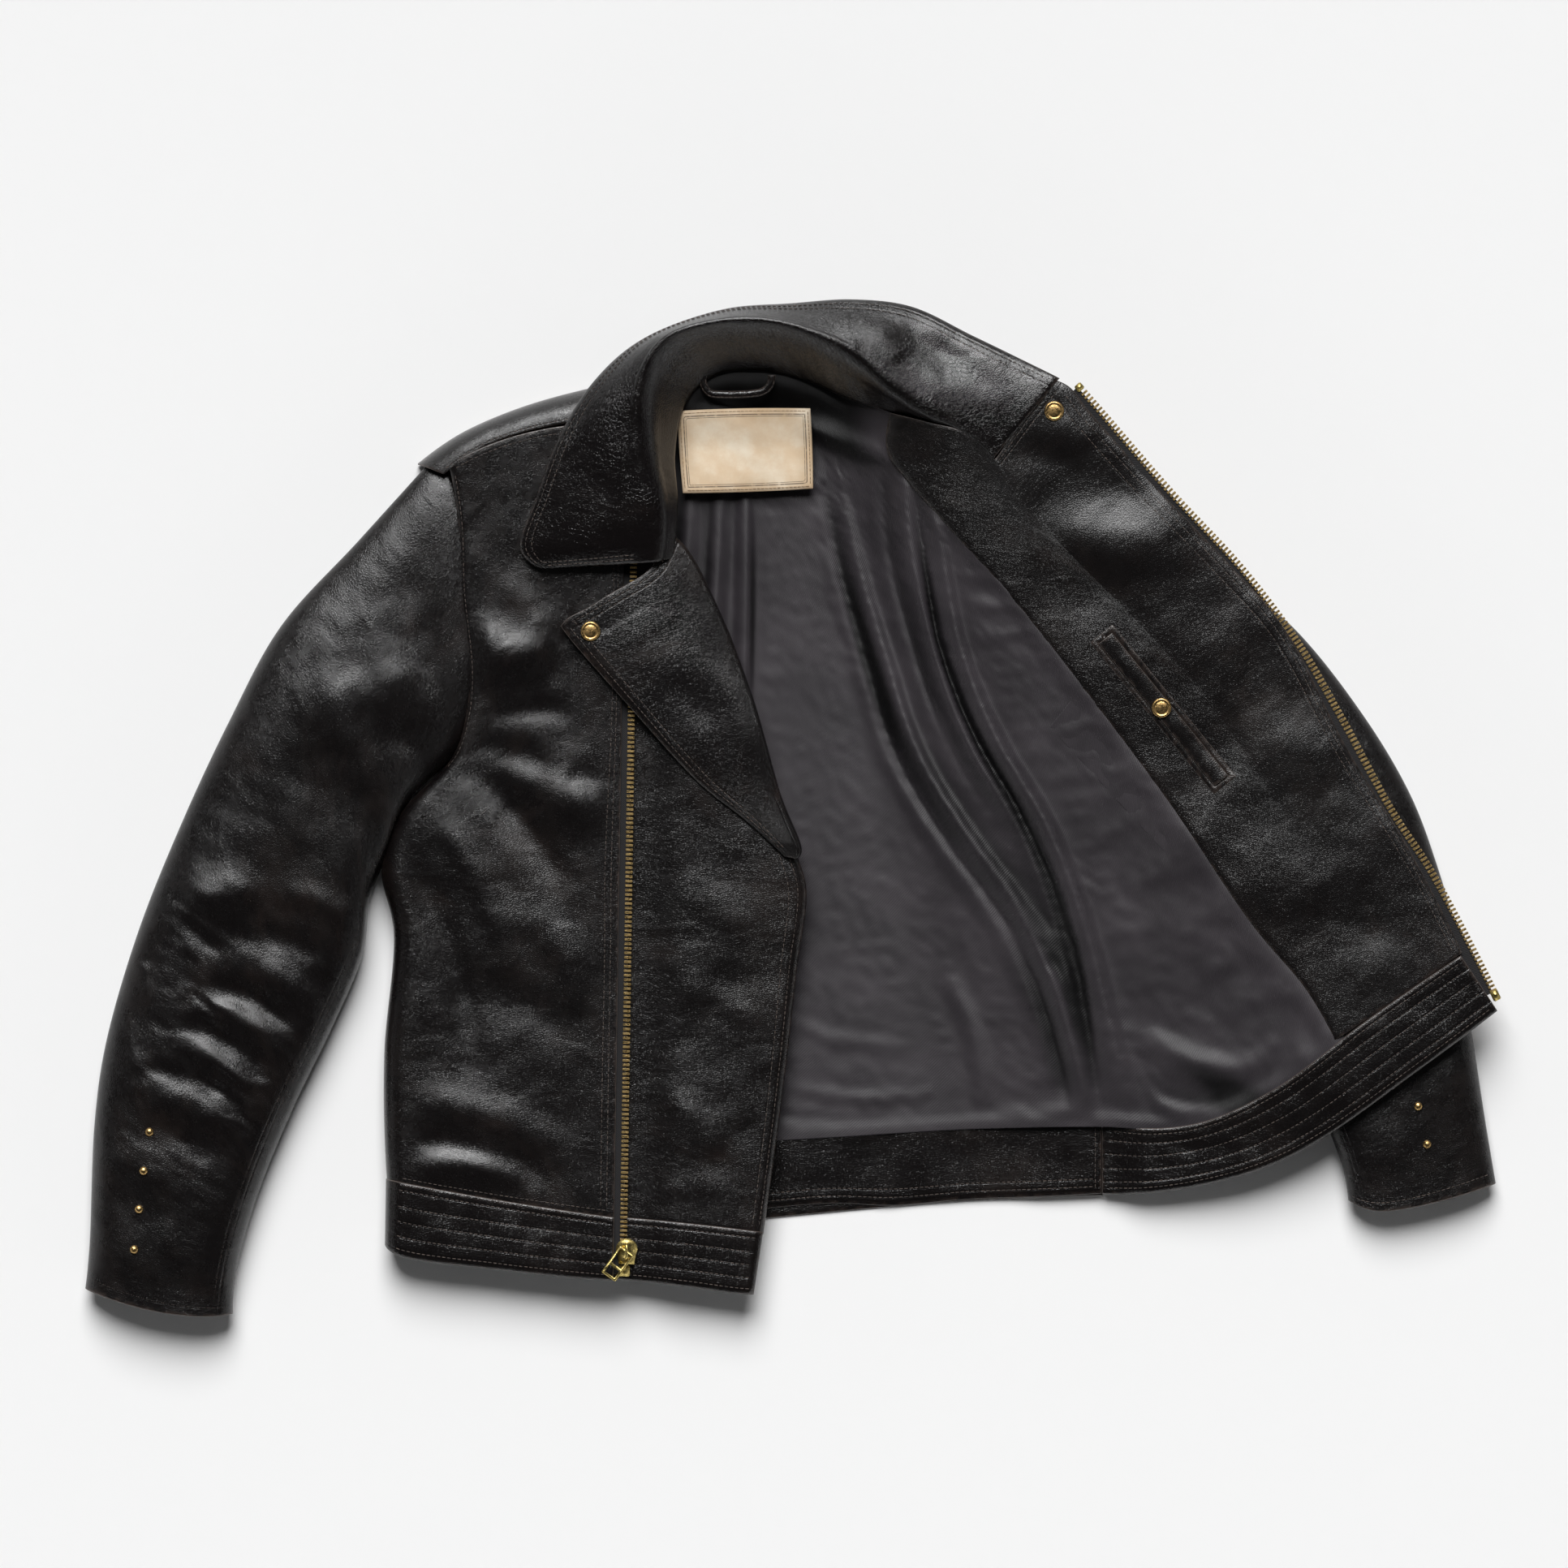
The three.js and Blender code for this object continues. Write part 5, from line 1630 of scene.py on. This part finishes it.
label_cut = patch(
    edge([-80, 232.5], [-32, 233.5], [16, 236]), edge([-84, 293], [-36, 295], [14, 295]),
    edge([-80, 232.5], [-82.5, 262], [-84, 293]), edge([16, 236], [15.5, 266], [14, 295])
)


def label_side(u, v):
    plan = label_cut(u, v)
    x, y = plan[..., 0], plan[..., 1]
    z = (
        13.0 + 4.0 * ease(0.5, 1, v) + 1.5 * rumple(x, y, 46, 101) + 0.9 * np.sin(u * 4.4 + 0.6)
        - 0.8 * (u < 0)
    )
    turned = 0.8 * (
        1 - np.clip(np.minimum(np.minimum(u, 1 - u) * 97, np.minimum(v, 1 - v) * 60) / 2.5, 0, 1)
    ) ** 2
    return raised(plan, z - turned)


label = hide("label_cotton", label_side, 97, 60, 1.0, step=1.6)
dress(label, label_finish(), "label_cloth", "label")
around_label = np.array([[0.022, 0.035], [0.978, 0.035], [0.978, 0.965], [0.022, 0.965], [0.022, 0.035]])
for (u0, v0), (u1, v1) in zip(around_label, around_label[1:]):
    sew("label", label_side, np.linspace(u0, u1, 20), np.linspace(v0, v1, 20), lift=0.5, pitch=3.0)

loop_line = edge(
    [-65, 319.5, 18.6], [-64.5, 312, 17.8], [-60, 306.4, 17], [-50, 305.2, 17], [-40, 305.2, 17],
    [-30, 305.8, 17], [-21, 307.6, 17], [-16, 312, 17.8], [-14.5, 319.5, 18.6]
)


def loop_side(u, v):
    way = loop_line(np.asarray(v) + 0.01) - loop_line(np.asarray(v) - 0.01)
    out = np.stack([way[..., 1], -way[..., 0], 0 * way[..., 0]], -1)
    out /= np.maximum(np.linalg.norm(out, axis=-1, keepdims=True), 1e-9)
    place = loop_line(v) + out * (np.asarray(u)[..., None] * 5.4 - 2.7)
    place[..., 2] += 0.8 * np.sin(np.asarray(u) * math.pi)
    return place


loop = hide(
    "hanger_loop_leather", loop_side, 5.4, 84, 1.8, us=spread(5.4, 0.9, (0, 0.15, 0.5)),
    vs=spread(84, 1.5)
)
dress(loop, hem_leather, "black_leather", "hanger_loop", place="loop")
for side in (0.2, 0.8):
    sew("loop", loop_side, side, np.linspace(0.02, 0.98, 30), lift=1.05, pitch=3.2)

# ------------------------------------------------------------------ inside pocket
# A slanted pocket cut in the facing: a turned frame with stitching round it, one long welt, a snap,
# and the bag behind.
POCKET_FOOT, POCKET_HEAD = np.array([319.0, 17.0]), np.array([228.0, 128.5])
pocket_way = (POCKET_HEAD - POCKET_FOOT) / np.linalg.norm(POCKET_HEAD - POCKET_FOOT)
pocket_side = np.array([-pocket_way[1], pocket_way[0]])
POCKET_LONG, POCKET_WIDE = 144.0, 21.0


def on_pocket(along, across, lift):
    plan = (
        POCKET_FOOT + pocket_way * np.asarray(along)[..., None]
        + pocket_side * np.asarray(across)[..., None]
    )
    z = flap_height(plan[..., 0], plan[..., 1]) + 5.0 + lift
    return raised(plan, z)


def frame_side(u, v):
    """Once round the pocket mouth: u from the outside of the frame in to the mouth, v round it."""
    half_long, half_wide = POCKET_LONG / 2, POCKET_WIDE / 2
    side_lengths = np.array([2 * half_long, 2 * half_wide, 2 * half_long, 2 * half_wide])
    at = np.mod(np.asarray(v, float), 1) * side_lengths.sum()
    ends = np.cumsum(side_lengths)
    a = np.interp(at, np.r_[0, ends], [-half_long, half_long, half_long, -half_long, -half_long])
    b = np.interp(at, np.r_[0, ends], [-half_wide, -half_wide, half_wide, half_wide, -half_wide])
    pull_in = np.asarray(u) * 4.0
    a, b = a - np.sign(a) * pull_in, b - np.sign(b) * pull_in
    return on_pocket(a + half_long, b, 0.55 * np.sin(np.asarray(u) * math.pi * 0.9) - 0.3)


def welt_side(u, v):
    a = 4.4 + (POCKET_LONG - 8.8) * np.asarray(v)
    b = (POCKET_WIDE / 2 - 4.2) * (2 * np.asarray(u) - 1)
    return on_pocket(a, b, 0.9 + 0.7 * np.sin(np.asarray(u) * math.pi) + 0.25 * rumple(a, b * 3, 22, 113))


frame_rim = hide(
    "pocket_frame_leather", frame_side, 4.0, 322, 0.9, us=spread(4.0, 0.7, (0, 0.12, 0.4)),
    vs=spread(322, 1.6)
)
dress(frame_rim, facing_leather, "black_leather", place="open_front")
pocket_welt = hide("pocket_welt_leather", welt_side, 13, 135, 1.4, us=spread(13, 1.2), vs=spread(135, 2.2))
dress(pocket_welt, facing_leather, "black_leather", "pocket_welt", place="pocket_welt")
for (a0, b0), (a1, b1) in zip(
    [(-3.4, -13.6), (147.4, -13.6), (147.4, 13.6), (-3.4, 13.6)],
    [(147.4, -13.6), (147.4, 13.6), (-3.4, 13.6), (-3.4, -13.6)]
):
    def side_row(u, v, a0=a0, b0=b0, a1=a1, b1=b1):
        v = np.asarray(v, float)
        across = (np.asarray(u, float) - 0.5) * 2
        dx, dy = (a1 - a0), (b1 - b0)
        run = math.hypot(dx, dy)
        return on_pocket(a0 + dx * v - dy / run * across, b0 + dy * v + dx / run * across, -0.75)

    if b0 < 0 or a0 > 0 > a1:
        sew("pocket", side_row, 0.5, np.linspace(0, 1, 20), lift=0.75)

bag_cut = patch(
    edge([300, -60], [350, 20]), edge([190, 60], [262, 150]), edge([300, -60], [190, 60]),
    edge([350, 20], [262, 150])
)


def bag_side(u, v):
    plan = bag_cut(u, v)
    return raised(plan, flap_height(plan[..., 0], plan[..., 1]) + 2.2)


bag = hide("pocket_bag_cloth", bag_side, 105, 165, 0.6, step=7)
dress(bag, lining_cloth, "lining", "pocket_bag", place="open_front")

# ------------------------------------------------------------------ thread
# Waxed brown-black thread along every seam, in stitches 3 mm long that sink into the leather at both
# ends.
def thread_finish(name, dark, light):
    made = new_finish(name)
    spot = Tone.node("ShaderNodeTexCoord", out=3)
    fuzz = Tone.node("ShaderNodeTexNoise", Vector=spot, Scale=260.0, Detail=3.0).between(0.35, 0.65)
    twist = Tone.node("ShaderNodeTexWave", {"bands_direction": "DIAGONAL"}, Vector=spot, Scale=900.0)
    body_of(Base_Color=fuzz.mix(dark, light), Roughness=fuzz * 0.1 + 0.5, Normal=bump(twist, 0.0001))
    return made


sew("body", right_front, 1 - 6.0 / FRONT_WIDE, np.linspace(0.008, 0.985, 100))
sew("body", right_front, 1 - 10.6 / FRONT_WIDE, np.linspace(0.008, 0.985, 100))
sew("body", right_front, np.linspace(0.06, 0.985, 50), 4.0 / FRONT_LONG)
sew("body", right_front, 4.5 / FRONT_WIDE, np.linspace(0.58, 0.985, 60))
sew("body", right_front, np.linspace(0.02, 0.98, 40), 1 - 5.0 / FRONT_LONG)
for away in (4.5, 9.0):
    sew(
        "body", underlap, 1 - away / (70 + 60 * (1 - np.linspace(0.008, 0.52, 60))),
        np.linspace(0.008, 0.52, 60), lift=1.3
    )
for away in HEM_ROWS:
    sew("body", hem_left, np.linspace(0.05, 0.99, 50), away / HEM_DEEP, lift=1.3)
    sew("body", hem_right, np.linspace(0.01, 0.97, 40), away / HEM_DEEP, lift=1.3)
stitch_rings = [
    (-1.55, 0.1, -0.3), (-1.2, 0.26, 0.02), (-0.5, 0.3, 0.16), (0.5, 0.3, 0.16), (1.2, 0.26, 0.02),
    (1.55, 0.1, -0.3)
]
stitch_points = [
    (along, wide * a, lift + wide * 0.8 * b)
    for along, wide, lift in stitch_rings for a, b in ((1, 0), (0, 1), (-1, 0), (0, -1))
]
stitch_faces = [
    [4 * r + k, 4 * r + (k + 1) % 4, 4 * r + 4 + (k + 1) % 4, 4 * r + 4 + k]
    for r in range(5) for k in range(4)
]
stitch_faces += [[3, 2, 1, 0], [20, 21, 22, 23]]
dark_thread = thread_finish("dark_thread", (0.034, 0.026, 0.022, 1), (0.110, 0.084, 0.070, 1))
tan_thread = thread_finish("tan_thread", (0.33, 0.22, 0.13, 1), (0.50, 0.36, 0.22, 1))
for key, place in (
    ("body", "body"), ("label", "body"), ("loop", "loop"), ("pocket", "open_front"), ("flap", BEND),
    ("collar", BEND), ("lapel", LAPEL_TURN)
):
    stitches = scatter(key + "_thread", stitch_points, stitch_faces, threads[key])
    stitches.data.polygons.foreach_set("use_smooth", np.ones(len(stitches.data.polygons), bool))
    stitches.data.materials.append(tan_thread if key == "label" else dark_thread)
    if isinstance(place, str):
        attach(stitches, place)
    else:
        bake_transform(stitches)

# ------------------------------------------------------------------ floor, light and camera
# A plain pale studio floor that curves up far away, one broad soft light beyond the collar, and a
# camera overhead.
FLOOR_RINGS = [
    (0.02, 0), (0.6, 0), (2.0, 0), (5.0, 0), (7.5, 0), (8.6, 0.16), (9.4, 0.7), (10.0, 1.8), (10.2, 3.2)
]
around = np.linspace(0, 2 * math.pi, 97)[:-1]
rings = np.array(
    [
        [(r * 1000 * math.cos(a), r * 1000 * math.sin(a), h * 1000 - 0.2) for a in around]
        for r, h in FLOOR_RINGS
    ]
)
index = np.arange(len(FLOOR_RINGS) * 96).reshape(-1, 96)
turned = np.roll(index, -1, 1)
floor = build(
    "studio_floor", rings.reshape(-1, 3),
    np.stack([index[:-1], index[1:], turned[1:], turned[:-1]], -1).reshape(-1, 4)
)
floor_paint = new_finish("floor_paint")
speck = Tone.node("ShaderNodeTexNoise", Scale=900.0, Detail=3.0)
body_of(
    Base_Color=(speck * 0.2).mix((0.9, 0.9, 0.9, 1), (0.88, 0.88, 0.88, 1)), Roughness=0.85,
    Specular_IOR_Level=0.2
)
floor.data.materials.append(floor_paint)

sky = bpy.data.worlds.new("studio")
sky.use_nodes = True
sky.node_tree.nodes["Background"].inputs["Color"].default_value = (1, 1, 1, 1)
sky.node_tree.nodes["Background"].inputs["Strength"].default_value = 0.03
bpy.context.scene.world = sky
key_light = bpy.data.lights.new("softbox", "SUN")
key_light.energy = 4.2
key_light.angle = math.radians(40)
softbox = bpy.data.objects.new("softbox", key_light)
softbox.rotation_euler = Vector((0.06, -0.717, -0.695)).to_track_quat("-Z", "Y").to_euler()
bpy.context.scene.collection.objects.link(softbox)

CAMERA_HEIGHT, VIEW_WIDE = 7.0, 1.1592
seen = bpy.data.cameras.new("camera")
seen.sensor_width = 36
seen.lens = seen.sensor_width * CAMERA_HEIGHT / VIEW_WIDE
seen.clip_end = 50
camera = bpy.data.objects.new("camera", seen)
camera.location = (-0.0054, 0.018, CAMERA_HEIGHT)
bpy.context.scene.collection.objects.link(camera)
bpy.context.scene.camera = camera
bpy.context.scene.view_settings.view_transform = "Standard"
